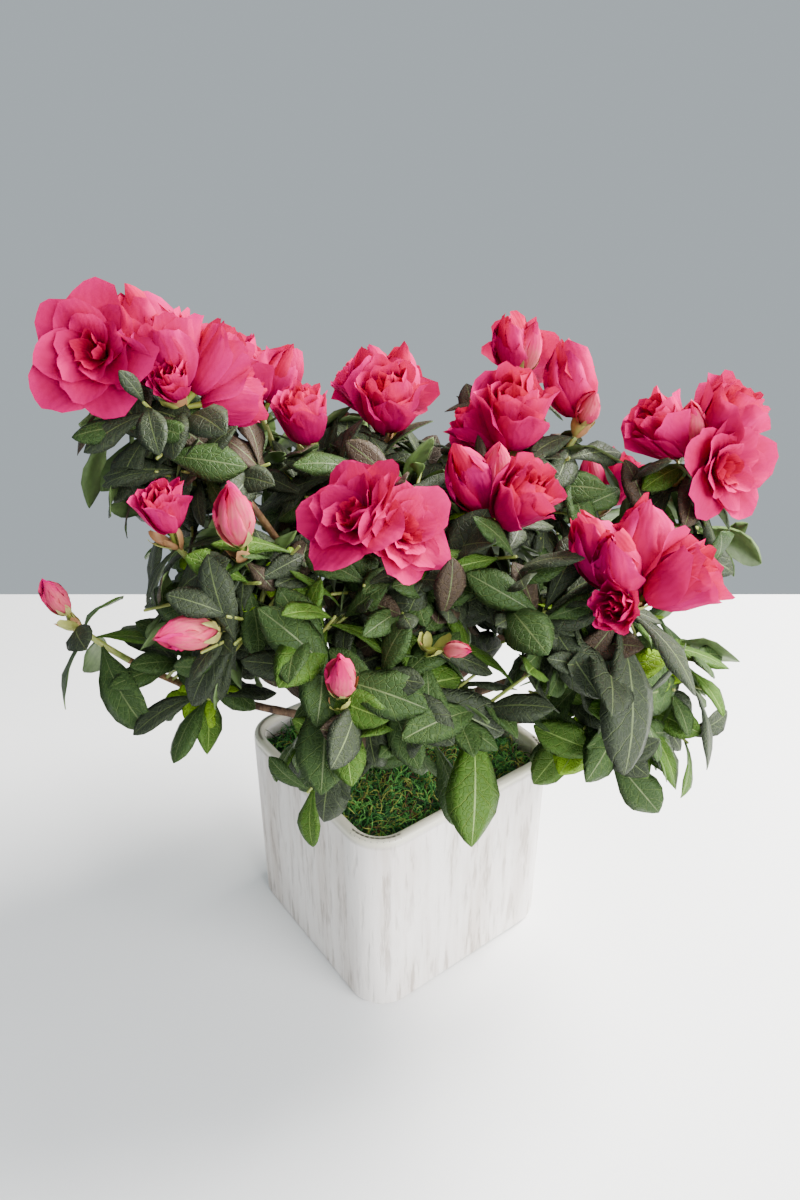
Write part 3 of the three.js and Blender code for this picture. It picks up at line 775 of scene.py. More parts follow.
def grow_fine_twig(roll, parent, tuft):
    size = TUFT if tuft else FINE
    line = parent["line"]
    bare_top = parent["main"] and len(parent["plan"]["flowers"]) > 0
    start = line.at(mix(*(UNDER_WHORL if bare_top else ALL_ALONG), next(roll)))
    axis = line.heading(1)
    lean = mix(*size["lean"], next(roll))
    way = turned(leaning(360 * next(roll), lean), unit(axis + UP * 0.4))
    twig = Curve(start, start + way * mix(*size["length"], next(roll)))
    longest = mix(*size["leaf"], next(roll))
    whorl = grow_whorl(roll, twig, unit(way + UP * 0.5), size["leaves"], longest, 0)
    return dict(line=twig, radii=FINE_RADII, main=False, leaves=whorl, tuft=tuft)


def grow_finer(index, name, tier):
    roll = dice(FINER_SEED * (index + 1))
    reach = reach_of(index)
    fine = []
    bough = dict(line=bough_lines[index].part(BOUGH_BARE, 1), main=False)
    on_stem = FINER_ON.get(name, FINER_ON_STEM)
    parents = [(twig, on_stem if twig["main"] else FINER_ON_SIDE) for twig in settled[index]]
    parents.append((bough, FINER_ON_BOUGH.get(name, BOUGH_TWIGS)))
    for parent, count in parents:
        for _ in range(count):
            made = grow_fine_twig(roll, parent, next(roll) < TUFT_SHARE[tier])
            kept = settle(made, index, surroundings[index], -OVERLAP)
            if kept:
                kept["leaves"] = [leaf for leaf in kept["leaves"] if within_reach(leaf, reach)]
                if len(kept["leaves"]) > 1:
                    fine.append(kept)
    return fine


finer = [grow_finer(index, name, tier) for index, (name, (tier, _)) in enumerate(SPRAYS.items())]
fine_leaves = sum(len(twig["leaves"]) for fine in finer for twig in fine)
print("fine twigs:", sum(map(len, finer)), "with", fine_leaves, "leaves")

# %% [markdown]
# ## Joining many small things
#
# Hundreds of leaves or petals as single objects would be slow and heavy. Each is worked out as an array
# of points with an array of faces, and all of a kind are joined into one mesh, which still keeps a finish
# per face.

# %% Joined meshes
class Joined:
    """Many small shapes gathered into one mesh, in the shrub's frame and in millimetres."""

    def __init__(self):
        self.points, self.faces, self.finishes, self.places = [], [], [], []
        self.count = 0

    def add(self, points, *groups, places=None):
        """Adds one shape. A group is faces, as rows of corner numbers, with the number of their finish."""
        points = np.asarray(points, float).reshape(-1, 3)
        for faces, finish in groups:
            faces = np.atleast_2d(faces)
            self.faces.append(faces + self.count)
            self.finishes.append(np.broadcast_to(finish, len(faces)))
        self.points.append(points)
        self.places.append(np.zeros((len(points), 2)) if places is None else places)
        self.count += len(points)

    def piece(self, name, finishes, turn=True):
        points = np.concatenate(self.points)
        points = in_pot_frame(points) if turn else points * MM
        corners = np.concatenate([faces.ravel() for faces in self.faces])
        sizes = np.concatenate([np.full(len(faces), faces.shape[1]) for faces in self.faces])
        mesh = bpy.data.meshes.new(name)
        mesh.vertices.add(len(points))
        mesh.vertices.foreach_set("co", points.ravel())
        mesh.loops.add(len(corners))
        mesh.loops.foreach_set("vertex_index", corners)
        mesh.polygons.add(len(sizes))
        mesh.polygons.foreach_set("loop_start", np.concatenate([[0], np.cumsum(sizes)[:-1]]))
        mesh.polygons.foreach_set("material_index", np.concatenate(self.finishes))
        for finish in finishes:
            mesh.materials.append(finish)
        layer = mesh.uv_layers.new(name="place")
        layer.data.foreach_set("uv", np.concatenate(self.places)[corners].ravel())
        mesh.update(calc_edges=True)
        mesh.shade_smooth()
        made = bpy.data.objects.new(name, mesh)
        bpy.context.collection.objects.link(made)
        triangles = int((sizes - 2).sum())
        print(name, "triangles:", triangles, "shapes:", len(self.points))
        return made


def grid_quads(rows, columns, wrap=False):
    """The quads of a grid of points, numbered row after row. Wrap joins the last column to the first."""
    i, j = np.meshgrid(np.arange(rows - 1), np.arange(columns if wrap else columns - 1), indexing="ij")
    after = (j + 1) % columns
    quads = [i * columns + j, i * columns + after, (i + 1) * columns + after, (i + 1) * columns + j]
    return np.stack(quads, -1).reshape(-1, 4)


def fan(ring, middle):
    """Triangles from a ring of points to the point in its middle."""
    return np.stack([ring, np.roll(ring, -1), np.full(len(ring), middle)], -1)


# %% [markdown]
# Limbs and twigs are tubes along their curves. A closed tube needs a ring of points at each step and a
# point in the middle of each end. The radius is a function of the way along and round, so bark can be
# ridged.

# %% Tubes
def plane_normal(line):
    run = line.end - line.start
    flat = np.array([run[1], -run[0], 0])
    return unit(flat) if np.linalg.norm(flat) > 1e-6 else np.array([1.0, 0, 0])


def ring_round(across, depth, sides):
    """The directions of a ring's points, and their angles, from two directions square to the tube."""
    angle = 2 * np.pi * np.arange(sides) / sides
    ring = across[..., None, :] * np.cos(angle)[:, None] + depth[..., None, :] * np.sin(angle)[:, None]
    return ring, angle


def tube(line, radius_at, sides, steps):
    """The points, side faces and end faces of a closed tube along a curve."""
    t = np.linspace(0, 1, steps + 1)
    middle, heading, across = line.at(t), line.heading(t), plane_normal(line)
    ring, angle = ring_round(across, np.cross(heading, across), sides)
    radius = np.broadcast_to(radius_at(t[:, None], angle[None]), (steps + 1, sides))
    points = (middle[:, None] + ring * radius[..., None]).reshape(-1, 3)
    ends = [middle[0] - heading[0] * radius[0].mean() * 0.3,
            middle[-1] + heading[-1] * radius[-1].mean() * 0.6]
    last = len(points)
    caps = np.concatenate([fan(np.arange(sides)[::-1], last),
                           fan(np.arange(last - sides, last), last + 1)])
    return np.vstack([points, ends]), grid_quads(steps + 1, sides, wrap=True), caps


def ridged(foot, tip, length, depth=0.05):
    """An even taper with long ridges and small knots, as on thin old bark."""
    def radius_at(t, angle):
        along = t * length
        ridge = np.sin(3 * angle + 0.9 * np.sin(along / 5)) + 0.7 * np.sin(7 * angle - along / 2.3)
        knot = 0.6 * np.sin(along / 1.7 + 2 * angle)
        return mix(foot, tip, t) * (1 + depth * (ridge + knot))
    return radius_at


def trunk_ridged(t, angle):
    along = t * (TRUNK["top"] - FILL_TOP)
    ridge = np.sin(4 * angle + 0.05 * along) + 0.8 * np.sin(7 * angle + 0.14 * along + np.sin(along / 4))
    root = np.maximum(0, 1 - 4 * t) * np.sin(5 * angle + 1)
    return trunk_radius(t) * (1 + 0.045 * ridge + 0.1 * root + 0.02 * np.sin(along / 1.3 + 3 * angle))


# %% [markdown]
# Old bark is brown and cracked lengthwise, with paler patches. The twigs are brown where they are old and
# yellow-green farther out. A picture of bark would show a seam along each limb. Noise has none, and it
# runs over forks without a break.

# %% Bark finishes
def bark():
    finish = Finish("bark", Roughness=0.85)
    flake = finish.noise(finish.place((1, 1, 0.3)), 420, 5, 0.65)
    patch = finish.noise(finish.place(), 60, 2)
    warm = finish.blend(finish.steps(flake, 0.35, 0.65), paint(62, 42, 34), paint(128, 98, 76))
    finish.feed(Base_Color=finish.blend(finish.steps(patch, 0.5, 0.75) * 0.6, warm, paint(122, 112, 92)),
                Normal=finish.relief(flake + patch * 0.4, 0.0006, 0.8))
    return finish.material


bark_finish = bark()
brown_twig = mottled("brown_twig", paint(112, 74, 52), paint(150, 118, 74), 0.7)
green_twig = mottled("green_twig", paint(126, 142, 62), paint(158, 160, 84), 0.5)

# %% [markdown]
# The trunk and its boughs are joined in one mesh. Each bough has a short root that starts inside the trunk,
# so that it grows out of the wood instead of only touching it. The twigs are a second mesh, brown on the
# older half of each stem and green on all the rest.

# %% Trunk and boughs
limbs = Joined()
trunk_points, trunk_sides, trunk_caps = tube(trunk_line, trunk_ridged, 28, 30)
limbs.add(trunk_points, (trunk_sides, 0), (trunk_caps, 0))
for line in bough_lines:
    root = Curve(trunk_line.at(0.8) * 0.2 + line.start * 0.8 - line.heading(0) * BOUGH["foot"], line.start)
    for part, foot, tip, steps in ((root, BOUGH["foot"] * 1.5, BOUGH["foot"] * 1.08, 5),
                                   (line, BOUGH["foot"], BOUGH["tip"], 18)):
        points, sides, caps = tube(part, ridged(foot, tip, part.length()), 10, steps)
        limbs.add(points, (sides, 0), (caps, 0))
limb_piece = limbs.piece("limbs", [bark_finish])
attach(limb_piece, "root")
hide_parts("trunk", *["bough_" + name for name in SPRAYS])

# %% Twigs
FOLIAGE_NODES = ["foliage_" + name for name in SPRAYS]


def add_twig(bundle, twig):
    foot, tip = twig["radii"]
    line = twig["line"]
    steps, sides = (12, 8) if twig["main"] else (5, 6)
    if twig["main"]:
        line = Curve(line.start - line.heading(0) * 1.5, line.end, line.bend)
    points, faces, caps = tube(line, ridged(foot, tip, line.length(), 0.04), sides, steps)
    old = twig["main"] & (np.arange(len(faces)) // sides < 0.55 * steps)
    bundle.add(points, (faces, np.where(old, 0, 1)), (caps, 1))


twigs = Joined()
for index in range(len(SPRAYS)):
    for twig in settled[index] + finer[index]:
        add_twig(twigs, twig)
twig_piece = twigs.piece("twigs", [brown_twig, green_twig])
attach(twig_piece, "root")
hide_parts(*FOLIAGE_NODES)

# %% [markdown]
# ## Leaves
#
# An azalea's leaf is leathery, dull on top and paler beneath, with a sunk midrib and side veins that
# reach almost to its margin. One leaf is a grid of points bent over the leaf's curve, with a narrow strip
# for the midrib, closed below by two strips that meet in a keel. It has a few dozen faces. The veins are
# drawn by its finish, which reads how far along and across the leaf a point lies from the mesh's own UV
# map.

# %% Leaf mesh
ALONG = np.array([0, 0.08, 0.2, 0.34, 0.48, 0.62, 0.76, 0.88, 0.96, 1])
ACROSS = np.array([1, 0.55, 0.035, -0.035, -0.55, -1])
RIB_COLUMN = 2
SLIM, TWIST, MARGIN_WAVE = 0.95, 36, 0.09
KEEL_TIP, KEEL_FOOT = 0.3, 0.8
FRESH, YOUNG, PALE_RIB, GREEN_RIB, UNDERSIDE = range(3, 8)


def leaf_faces():
    rows, columns = len(ALONG), len(ACROSS)
    upper = grid_quads(rows, columns)
    rib = np.arange(len(upper)) % (columns - 1) == RIB_COLUMN
    row = np.arange(rows - 1)
    near, keel = row * columns, rows * columns + row
    far = near + columns - 1
    under = np.concatenate([np.stack([far, keel, keel + 1, far + columns], -1),
                            np.stack([keel, near, near + columns, keel + 1], -1)])
    foot_end = np.append(np.arange(columns)[::-1], rows * columns)
    tip_end = np.append(np.arange(columns) + (rows - 1) * columns, rows * columns + rows - 1)
    return upper, rib, under, np.stack([foot_end, tip_end])


UPPER, RIB, UNDER, LEAF_ENDS = leaf_faces()


def blade_width(t):
    """A blade that is broadest past its middle, with a long taper to its foot and a short point."""
    return np.maximum(np.sin(np.pi * t ** 1.6), 0) ** 0.82 + 0.035


def leaf_grid(leaf, roll):
    """The points of one leaf: its upper grid, then its keel."""
    line = midrib(leaf)
    heading = line.heading(ALONG)
    across = unit(np.cross(leaf["axis"], leaf["way"]))
    twist = math.radians(TWIST) * (next(roll) - 0.5) * (ALONG - 0.15)
    upper = np.cross(heading, across)
    side = across * np.cos(twist)[:, None] + upper * np.sin(twist)[:, None]
    upper = np.cross(heading, side)
    half = leaf["length"] * leaf["width"] * SLIM / 2 * blade_width(ALONG)
    valley, droop = mix(0.2, 0.5, next(roll)), mix(0.25, 0.6, next(roll))
    wave = MARGIN_WAVE * np.sin(2 * np.pi * (ALONG * mix(1.4, 2.6, next(roll)) + next(roll)))
    rise = valley * np.abs(ACROSS) - droop * ACROSS ** 2 + wave[:, None] * ACROSS ** 2 * np.sign(ACROSS)
    middle = line.at(ALONG)
    points = middle[:, None] + half[:, None, None] * (side[:, None] * ACROSS[None, :, None]
                                                      + upper[:, None] * rise[..., None])
    keel = middle - upper * mix(KEEL_TIP, KEEL_FOOT, 1 - ALONG)[:, None]
    return np.vstack([points.reshape(-1, 3), keel])


LEAF_PLACES = np.vstack([np.stack(np.meshgrid(ACROSS * 0.5 + 0.5, ALONG), -1).reshape(-1, 2),
                         np.stack([np.full(len(ALONG), 0.5), ALONG], -1)])
print("faces of one leaf:", len(UPPER) + len(UNDER) + 2)

# %% [markdown]
# Tints go by spray. Old leaves are dark and slightly blue, some turn bronze in the cold, and those low on
# the plant, which grew last, are fresh green. Each tint is a finish of its own. The leaves are joined in
# three meshes, one for each height at which the boughs start, so that none of the meshes is too heavy.

# %% Leaf finishes
def leaf_finish(name, colour, vein_colour, roughness, vein_share=0.62):
    """A leathery blade: raised between its veins, pale along them, with a fine net of veinlets."""
    finish = Finish(name, Specular_IOR_Level=0.16)
    across, along = finish.across_and_along()
    off = finish.math("ABSOLUTE", across * 2 - 1)
    wander = finish.noise(finish.place(), 160, 2)
    turns = (along - off * 0.2 + wander * 0.06) * 6.5
    wave = finish.math("ABSOLUTE", finish.math("SINE", turns * math.pi))
    vein = 1 - finish.steps(wave, 0.02, 0.16)
    net = finish.node("ShaderNodeTexVoronoi", {"feature": "DISTANCE_TO_EDGE"}, {
        "Vector": finish.place(), "Scale": 520.0})
    veinlet = 1 - finish.steps(net, 0.02, 0.14)
    mottle = finish.noise(finish.place(), 45, 3)
    shade = finish.blend(finish.steps(mottle, 0.3, 0.75) * 0.5, colour, darker(colour, 0.6))
    finish.feed(Base_Color=finish.blend(vein * vein_share + veinlet * 0.16, shade, vein_colour),
                Roughness=mottle * 0.2 + roughness,
                Normal=finish.relief((1 - vein) + (1 - veinlet) * 0.35, 0.0008, 0.85))
    return finish.material


leaf_finishes = [
    leaf_finish("dark_leaf", paint(54, 62, 47), paint(102, 116, 74), 0.44),
    leaf_finish("mid_leaf", paint(52, 75, 36), paint(104, 128, 66), 0.44),
    leaf_finish("bronze_leaf", paint(70, 58, 48), paint(118, 102, 72), 0.46),
    leaf_finish("fresh_leaf", paint(66, 99, 30), paint(120, 146, 62), 0.42),
    leaf_finish("young_leaf", paint(120, 160, 20), paint(152, 182, 60), 0.44, 0.3),
    plain_finish("pale_rib", paint(96, 112, 62), 0.55),
    plain_finish("green_rib", paint(122, 152, 60), 0.5),
    plain_finish("leaf_underside", paint(92, 118, 62), 0.65, 420),
]

# %% Leaves
TINT_SEED = 54317
TINT_SHARES = {
    "high": (0.72, 0.12, 0.16, 0, 0),
    "middle": (0.6, 0.2, 0.17, 0.03, 0),
    "low": (0.42, 0.42, 0.04, 0.12, 0),
    "low_front": (0.34, 0.4, 0.04, 0.22, 0),
    "low_right": (0.16, 0.38, 0, 0.34, 0.12),
}


def pick_tint(shares, draw):
    """Dark, mid, bronze, fresh or young, each as often as its share says."""
    return int(np.searchsorted(np.cumsum(shares), draw * 0.9999))


leaf_sets = {tier: Joined() for tier in TIERS}
for index, (name, (tier, _)) in enumerate(SPRAYS.items()):
    roll = dice(TINT_SEED * (index + 1))
    shares = TINT_SHARES.get(name, TINT_SHARES[tier])
    for twig in settled[index] + finer[index]:
        for leaf in twig["leaves"]:
            tint = pick_tint(shares, next(roll))
            tint = YOUNG if twig.get("tuft") else tint
            rib = GREEN_RIB if tint in (FRESH, YOUNG) else PALE_RIB
            leaf_sets[tier].add(leaf_grid(leaf, roll), (UPPER, np.where(RIB, rib, tint)),
                                (UNDER, UNDERSIDE), (LEAF_ENDS, UNDERSIDE), places=LEAF_PLACES)
for tier, leaves in leaf_sets.items():
    leaf_piece = leaves.piece("leaves_" + tier, leaf_finishes)
    own_nodes = ["foliage_" + name for name, (own_tier, _) in SPRAYS.items() if own_tier == tier]
    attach(leaf_piece, "root")
    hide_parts(*own_nodes)

# %% [markdown]
# ## Flowers
#
# A double azalea has rings of petals on a short funnel, and each stage is the same build at another
# angle: in a bud they wrap round each other and close at the tip, half open they stand like a goblet, and
# open they spread. So one petal is a sheet that follows a curve given by its angle from the flower's axis
# at its foot, middle and tip. It wraps round the axis as far as its width asks, and its margin ruffles.

# %% Petal mesh
PETAL_U = np.linspace(-1, 1, 8)
PETAL_V = np.array([0, 0.16, 0.34, 0.52, 0.7, 0.86, 1])
PETAL_QUADS = grid_quads(len(PETAL_V), len(PETAL_U))
PETAL_PLACES = np.stack(np.meshgrid(PETAL_U * 0.5 + 0.5, PETAL_V), -1).reshape(-1, 2)
STEPS = 60
WIDEST = 0.66


def petal_line(angles, length):
    """How far out and how far up a petal's middle lies, at STEPS + 1 points."""
    v = np.linspace(0, 1, STEPS + 1)
    foot, middle, tip = np.radians(angles)
    angle = foot + (4 * middle - 3 * foot - tip) * v + (2 * foot - 4 * middle + 2 * tip) * v ** 2
    out = np.concatenate([[0], np.cumsum(np.sin((angle[1:] + angle[:-1]) / 2))]) * length / STEPS
    up = np.concatenate([[0], np.cumsum(np.cos((angle[1:] + angle[:-1]) / 2))]) * length / STEPS
    return v, out, up


def petal_grid(foot, way, around, angles, length, half, most_wrap, roll,
               ruffle=0.04, swirl=0.0, start=0.05, point=0.26):
    """The points of one petal of a flower whose base is at foot and whose axis is way."""
    first = unit(np.cross(way, UP + np.array([0.3, 0.1, 0])))
    second = np.cross(way, first)
    v_line, out, up = petal_line(angles, length)
    u, v = np.meshgrid(PETAL_U, PETAL_V)
    ragged = 0.022 * np.sin(9 * u + 6.3 * next(roll)) * v ** 5
    reach = v * (1 - point * np.abs(u) ** 1.7 + ragged)
    r = np.interp(reach, v_line, out) + start * length
    z = np.interp(reach, v_line, up)
    width = half * (0.3 + 0.7 * np.sin(np.pi / 2 * np.minimum(v / WIDEST, 1))
                    - 0.22 * np.maximum(0, v - WIDEST) / 0.34)
    turn = around + u * np.minimum(width / np.maximum(r, 0.02 * length), most_wrap)
    outward = np.cos(turn)[..., None] * first + np.sin(turn)[..., None] * second
    points = foot + outward * r[..., None] + way * z[..., None]
    normal = units(np.cross(np.gradient(points, axis=1), np.gradient(points, axis=0)))
    phase = [2 * np.pi * next(roll) for _ in range(4)]
    ripple = (0.6 * np.sin(4.5 * u + phase[0]) + 0.45 * np.sin(8 * u + phase[1]) * np.abs(u)
              + 0.5 * np.sin(6 * v + phase[2]) * u ** 2 + 0.3 * np.sin(3 * v + phase[3]))
    lift = ruffle * length * v ** 2 * ripple + swirl * length * u * np.sqrt(v)
    return points + normal * lift[..., None]


# %% [markdown]
# Rings are listed from the outside in. Each has its number of petals, its three angles, its length and
# half width as shares of the flower's size, how far it may wrap, its ruffle, how much one edge overlaps
# the next, how pointed its petals are, and its finish. The innermost rings take a darker copy of the petal
# finish, painted shade for the middle of the flower. The small buds are slimmer and paler, and sit in
# long pale green scales. The other flowers have a few short scales at their foot.

# %% Flower rings
# The ring finishes, in the order of petal_finishes below. The heart's is a darker copy of the petal finish,
# painted shade for the middle of the flower.
PETAL, OUTSIDE, SHADED_HEART, YOUNG_PETAL = range(4)


def petal_ring(count, angles, length, half, wrap, ruffle, swirl, point, finish=PETAL):
    return dict(count=count, angles=angles, length=length, half=half, wrap=wrap, ruffle=ruffle,
                swirl=swirl, point=point, finish=finish)


RINGS = {
    "young": [
        petal_ring(3, (48, -3, -50), 1.0, 0.27, 1.5, 0.012, 0.05, 0.5, YOUNG_PETAL),
        petal_ring(3, (44, -4, -46), 1.02, 0.25, 1.5, 0.015, 0.05, 0.45, YOUNG_PETAL),
        petal_ring(2, (30, -4, -30), 1.0, 0.18, 1.4, 0.02, 0.06, 0.4, OUTSIDE)],
    "bud": [
        petal_ring(3, (54, 0, -60), 0.99, 0.34, 1.5, 0.03, 0.09, 0.42, OUTSIDE),
        petal_ring(3, (50, -1, -52), 1.0, 0.31, 1.5, 0.035, 0.08, 0.38),
        petal_ring(3, (40, -1, -38), 1.0, 0.24, 1.4, 0.05, 0.07, 0.34, SHADED_HEART)],
    "half": [
        petal_ring(5, (70, 14, 34), 0.88, 0.34, 1.0, 0.085, 0.09, 0.2, OUTSIDE),
        petal_ring(5, (62, 9, 16), 0.91, 0.32, 1.05, 0.09, 0.09, 0.22),
        petal_ring(5, (48, 6, -10), 0.9, 0.27, 1.15, 0.07, 0.06, 0.22),
        petal_ring(4, (30, 0, -10), 0.88, 0.2, 1.2, 0.1, 0.06, 0.2, SHADED_HEART)],
    "open": [
        petal_ring(5, (28, 60, 84), 0.64, 0.34, 0.9, 0.06, 0.03, 0.22),
        petal_ring(5, (22, 46, 66), 0.56, 0.28, 0.95, 0.07, 0.03, 0.22),
        petal_ring(5, (16, 30, 44), 0.5, 0.21, 1.1, 0.09, 0.04, 0.2),
        petal_ring(4, (8, 16, 8), 0.42, 0.15, 1.2, 0.11, 0.05, 0.2, SHADED_HEART)],
}
LOOSE = dict(young=1, bud=4, half=7, open=10)
YOUNG_BELOW = 29
STALK_FINISH, FRESH_SCALE, OLD_SCALE, PALE_SCALE = range(4)
CALYX_SCALES, BUD_SCALES = 5, 7


def add_ring(petals, ring, base, way, around, size, looseness, roll):
    for k in range(ring["count"]):
        loose = looseness * (next(roll) - 0.5)
        angles = [ring["angles"][0] + loose * 0.5, ring["angles"][1] + loose,
                  ring["angles"][2] + 2.2 * loose + looseness * (next(roll) - 0.5)]
        turn = around + 2 * np.pi * (k + 0.22 * (next(roll) - 0.5)) / ring["count"]
        length = size * ring["length"] * mix(0.93, 1.05, next(roll))
        half = size * ring["half"] * mix(0.92, 1.08, next(roll))
        points = petal_grid(base, way, turn, angles, length, half, ring["wrap"], roll,
                            ring["ruffle"], ring["swirl"], point=ring["point"])
        petals.add(points, (PETAL_QUADS, ring["finish"]), places=PETAL_PLACES)


def add_calyx(stalks, base, way, around, roll):
    """Short scales round the foot of a flower."""
    for k in range(CALYX_SCALES):
        turn = around + 2 * np.pi * k / CALYX_SCALES
        points = petal_grid(base - way * 0.6, way, turn, (40, 18, 6), 5.5, 1.5, 1.0, roll, 0.02)
        stalks.add(points, (PETAL_QUADS, STALK_FINISH))


def add_bud_scales(stalks, base, way, around, size, roll):
    """Long pointed scales, from which a small bud has just come out."""
    length = 0.36 * size
    for k in range(BUD_SCALES):
        turn = around + 2 * np.pi * k / BUD_SCALES
        points = petal_grid(base - way * 0.5, way, turn, (50, 25, 2), length * mix(0.7, 1.3, next(roll)),
                            length * 0.27, 1.1, roll, 0.02, start=0.2, point=0.7)
        stalks.add(points, (PETAL_QUADS, PALE_SCALE))


def add_flower(petals, stalks, flower, roll):
    foot, way, size, kind = flower["foot"], flower["way"], flower["size"], flower["kind"]
    kind = "young" if kind == "bud" and size < YOUNG_BELOW else kind
    base = foot + way * STALK
    around = 2 * np.pi * next(roll)
    for ring in RINGS[kind]:
        around += 0.6 + 0.5 * next(roll)
        add_ring(petals, ring, base, way, around, size, LOOSE[kind], roll)
    stalk = Curve(foot - way * 1.5, base + way * 1.5)
    points, sides, caps = tube(stalk, lambda t, angle: mix(0.9, 0.06 * size, t ** 3), 8, 5)
    stalks.add(points, (sides, STALK_FINISH), (caps, STALK_FINISH))
    if kind == "young":
        add_bud_scales(stalks, base, way, around, size, roll)
    else:
        add_calyx(stalks, base, way, around, roll)


# %% [markdown]
# Papery bud scales stay round the foot of each cluster. The fresh ones are yellow-green and the old ones
# tan.

# %% Bud scales
def add_scales(stalks, foot, axis, count, roll):
    for k in range(count):
        turn = 2 * np.pi * (k * 0.382 + 0.2 * next(roll))
        length = mix(7, 12, next(roll))
        angles = (mix(35, 60, next(roll)), mix(12, 30, next(roll)), mix(-5, 20, next(roll)))
        start = foot - axis * mix(0, 3, next(roll))
        points = petal_grid(start, axis, turn, angles, length, length * 0.27, 1.0, roll, 0.03, start=0.12)
        stalks.add(points, (PETAL_QUADS, FRESH_SCALE if next(roll) < 0.55 else OLD_SCALE))


# %% [markdown]
# A petal is thin and dull, finely veined along its length, with soft blotches of a deep tint that are its
# own. Its foot is painted darker, as painted shade in the middle of the flower, and its margin is painted
# brighter, as a painted highlight for the light that glows through its thin rim. On young buds the same mix
# gives their real paler foot. Light that falls on its back shines through it, so a share of that is mixed
# in.

# %% Petal finishes
def petal_finish(name, colour, blotch_base_and_shade, edge, through):
    finish = Finish(name, Roughness=0.68, Specular_IOR_Level=0.06)
    across, along = finish.across_and_along()
    off = finish.math("ABSOLUTE", across * 2 - 1)
    # Painted highlight: the margin is painted brighter with the edge colour, standing in for light that
    # glows through a petal's thin rim.
    painted_rim_glow = finish.steps(finish.math("MAXIMUM", off, along), 0.8, 1.0)
    mottle = finish.noise(finish.place(), 90, 3)
    wander = finish.noise(finish.place(), 240, 2)
    vein = finish.math("SINE", (across + wander * 0.16) * 58)
    # The blotches are the petal's own. The term for the foot is painted shade in the flower's middle,
    # except on young buds, whose paler foot is real.
    depth = mottle * 0.9 + vein * 0.04 + (1 - along) * 0.35
    blade = finish.blend(finish.steps(depth, 0.35, 0.85), colour, blotch_base_and_shade)
    finish.feed(Base_Color=finish.blend(painted_rim_glow * 0.45, blade, edge),
                Normal=finish.relief(vein * 0.06 + mottle * 1.3, 0.0008, 0.6))
    finish.let_light_through(through, 0.18)
    return finish.material


# Each finish: its colour; a colour for its blotches and its foot, which at the foot is painted shade (on
# young buds a real paler base); edge, a painted highlight along the margin; and the colour of the light let
# through.
PINKS = dict(
    petal=((202, 0, 98), (180, 0, 76), (220, 0, 116), (224, 0, 92)),
    petal_outside=((206, 0, 110), (188, 0, 86), (224, 0, 126), (226, 0, 102)),
    # A darker copy of the petal finish, painted shade for the middle of the flower.
    shaded_heart_petal=((196, 0, 76), (166, 0, 50), (212, 0, 92), (218, 0, 74)),
    petal_young=((218, 22, 108), (214, 112, 112), (204, 0, 84), (232, 32, 114)),
)
petal_finishes = [petal_finish(name, *[paint(*pink) for pink in pinks]) for name, pinks in PINKS.items()]
scale_finishes = [
    plain_finish("flower_stalk", paint(140, 152, 60), 0.5),
    plain_finish("fresh_scale", paint(176, 178, 92), 0.55),
    plain_finish("old_scale", paint(176, 128, 84), 0.6),
    plain_finish("pale_scale", paint(178, 170, 96), 0.6),
]

# %% Flowers
FLOWER_SEED, FLOWER_SEED_STEP = 15485863, 97
petals, stalks = Joined(), Joined()
for index, (_, flowers) in enumerate(growths):
    roll = dice(FLOWER_SEED + FLOWER_SEED_STEP * index)
    for flower in flowers:
        add_flower(petals, stalks, flower, roll)
    for twig in growths[index][0]:
        if twig["main"] and twig["plan"]["flowers"]:
            scale_count = 5 + 2 * len(twig["plan"]["flowers"])
            add_scales(stalks, twig["line"].end, twig["axis"], scale_count, roll)
petal_piece = petals.piece("petals", petal_finishes)
scale_piece = stalks.piece("flower_stalks", scale_finishes)
for piece in (petal_piece, scale_piece):
    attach(piece, "root")
    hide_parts(*FOLIAGE_NODES)

# %% [markdown]
# ## Moss
#
# The compost is covered with preserved moss: a lumpy cushion that fills the pot, with a tangle of short
# curled strands on it. The cushion starts as a fine flat grid: its corners are rounded, its rim is pushed
# down to the bottom of the pot, and its top is then raised in lumps. The strands are thin tubes that
# curl, joined in one mesh.

# %% Moss cushion
MOSS_GAP = 0.4
MOSS_SQUARES = 44


def moss_height(x, y):
    """The height of the cushion at a place in the pot, in millimetres."""
    lumps = (np.sin(x / 6.5 + 1) * np.sin(y / 7.3) + 0.6 * np.sin(x / 3.1 + y / 4.4)
             + 0.4 * np.sin(y / 2.7 - x / 5))
    edge = np.maximum(np.abs(x), np.abs(y)) / (POT["side"] / 2 - POT["wall"])
    return FILL_TOP - 2.4 + lumps * 0.8 - 5 * np.maximum(0, edge - 0.75) ** 2 * 16


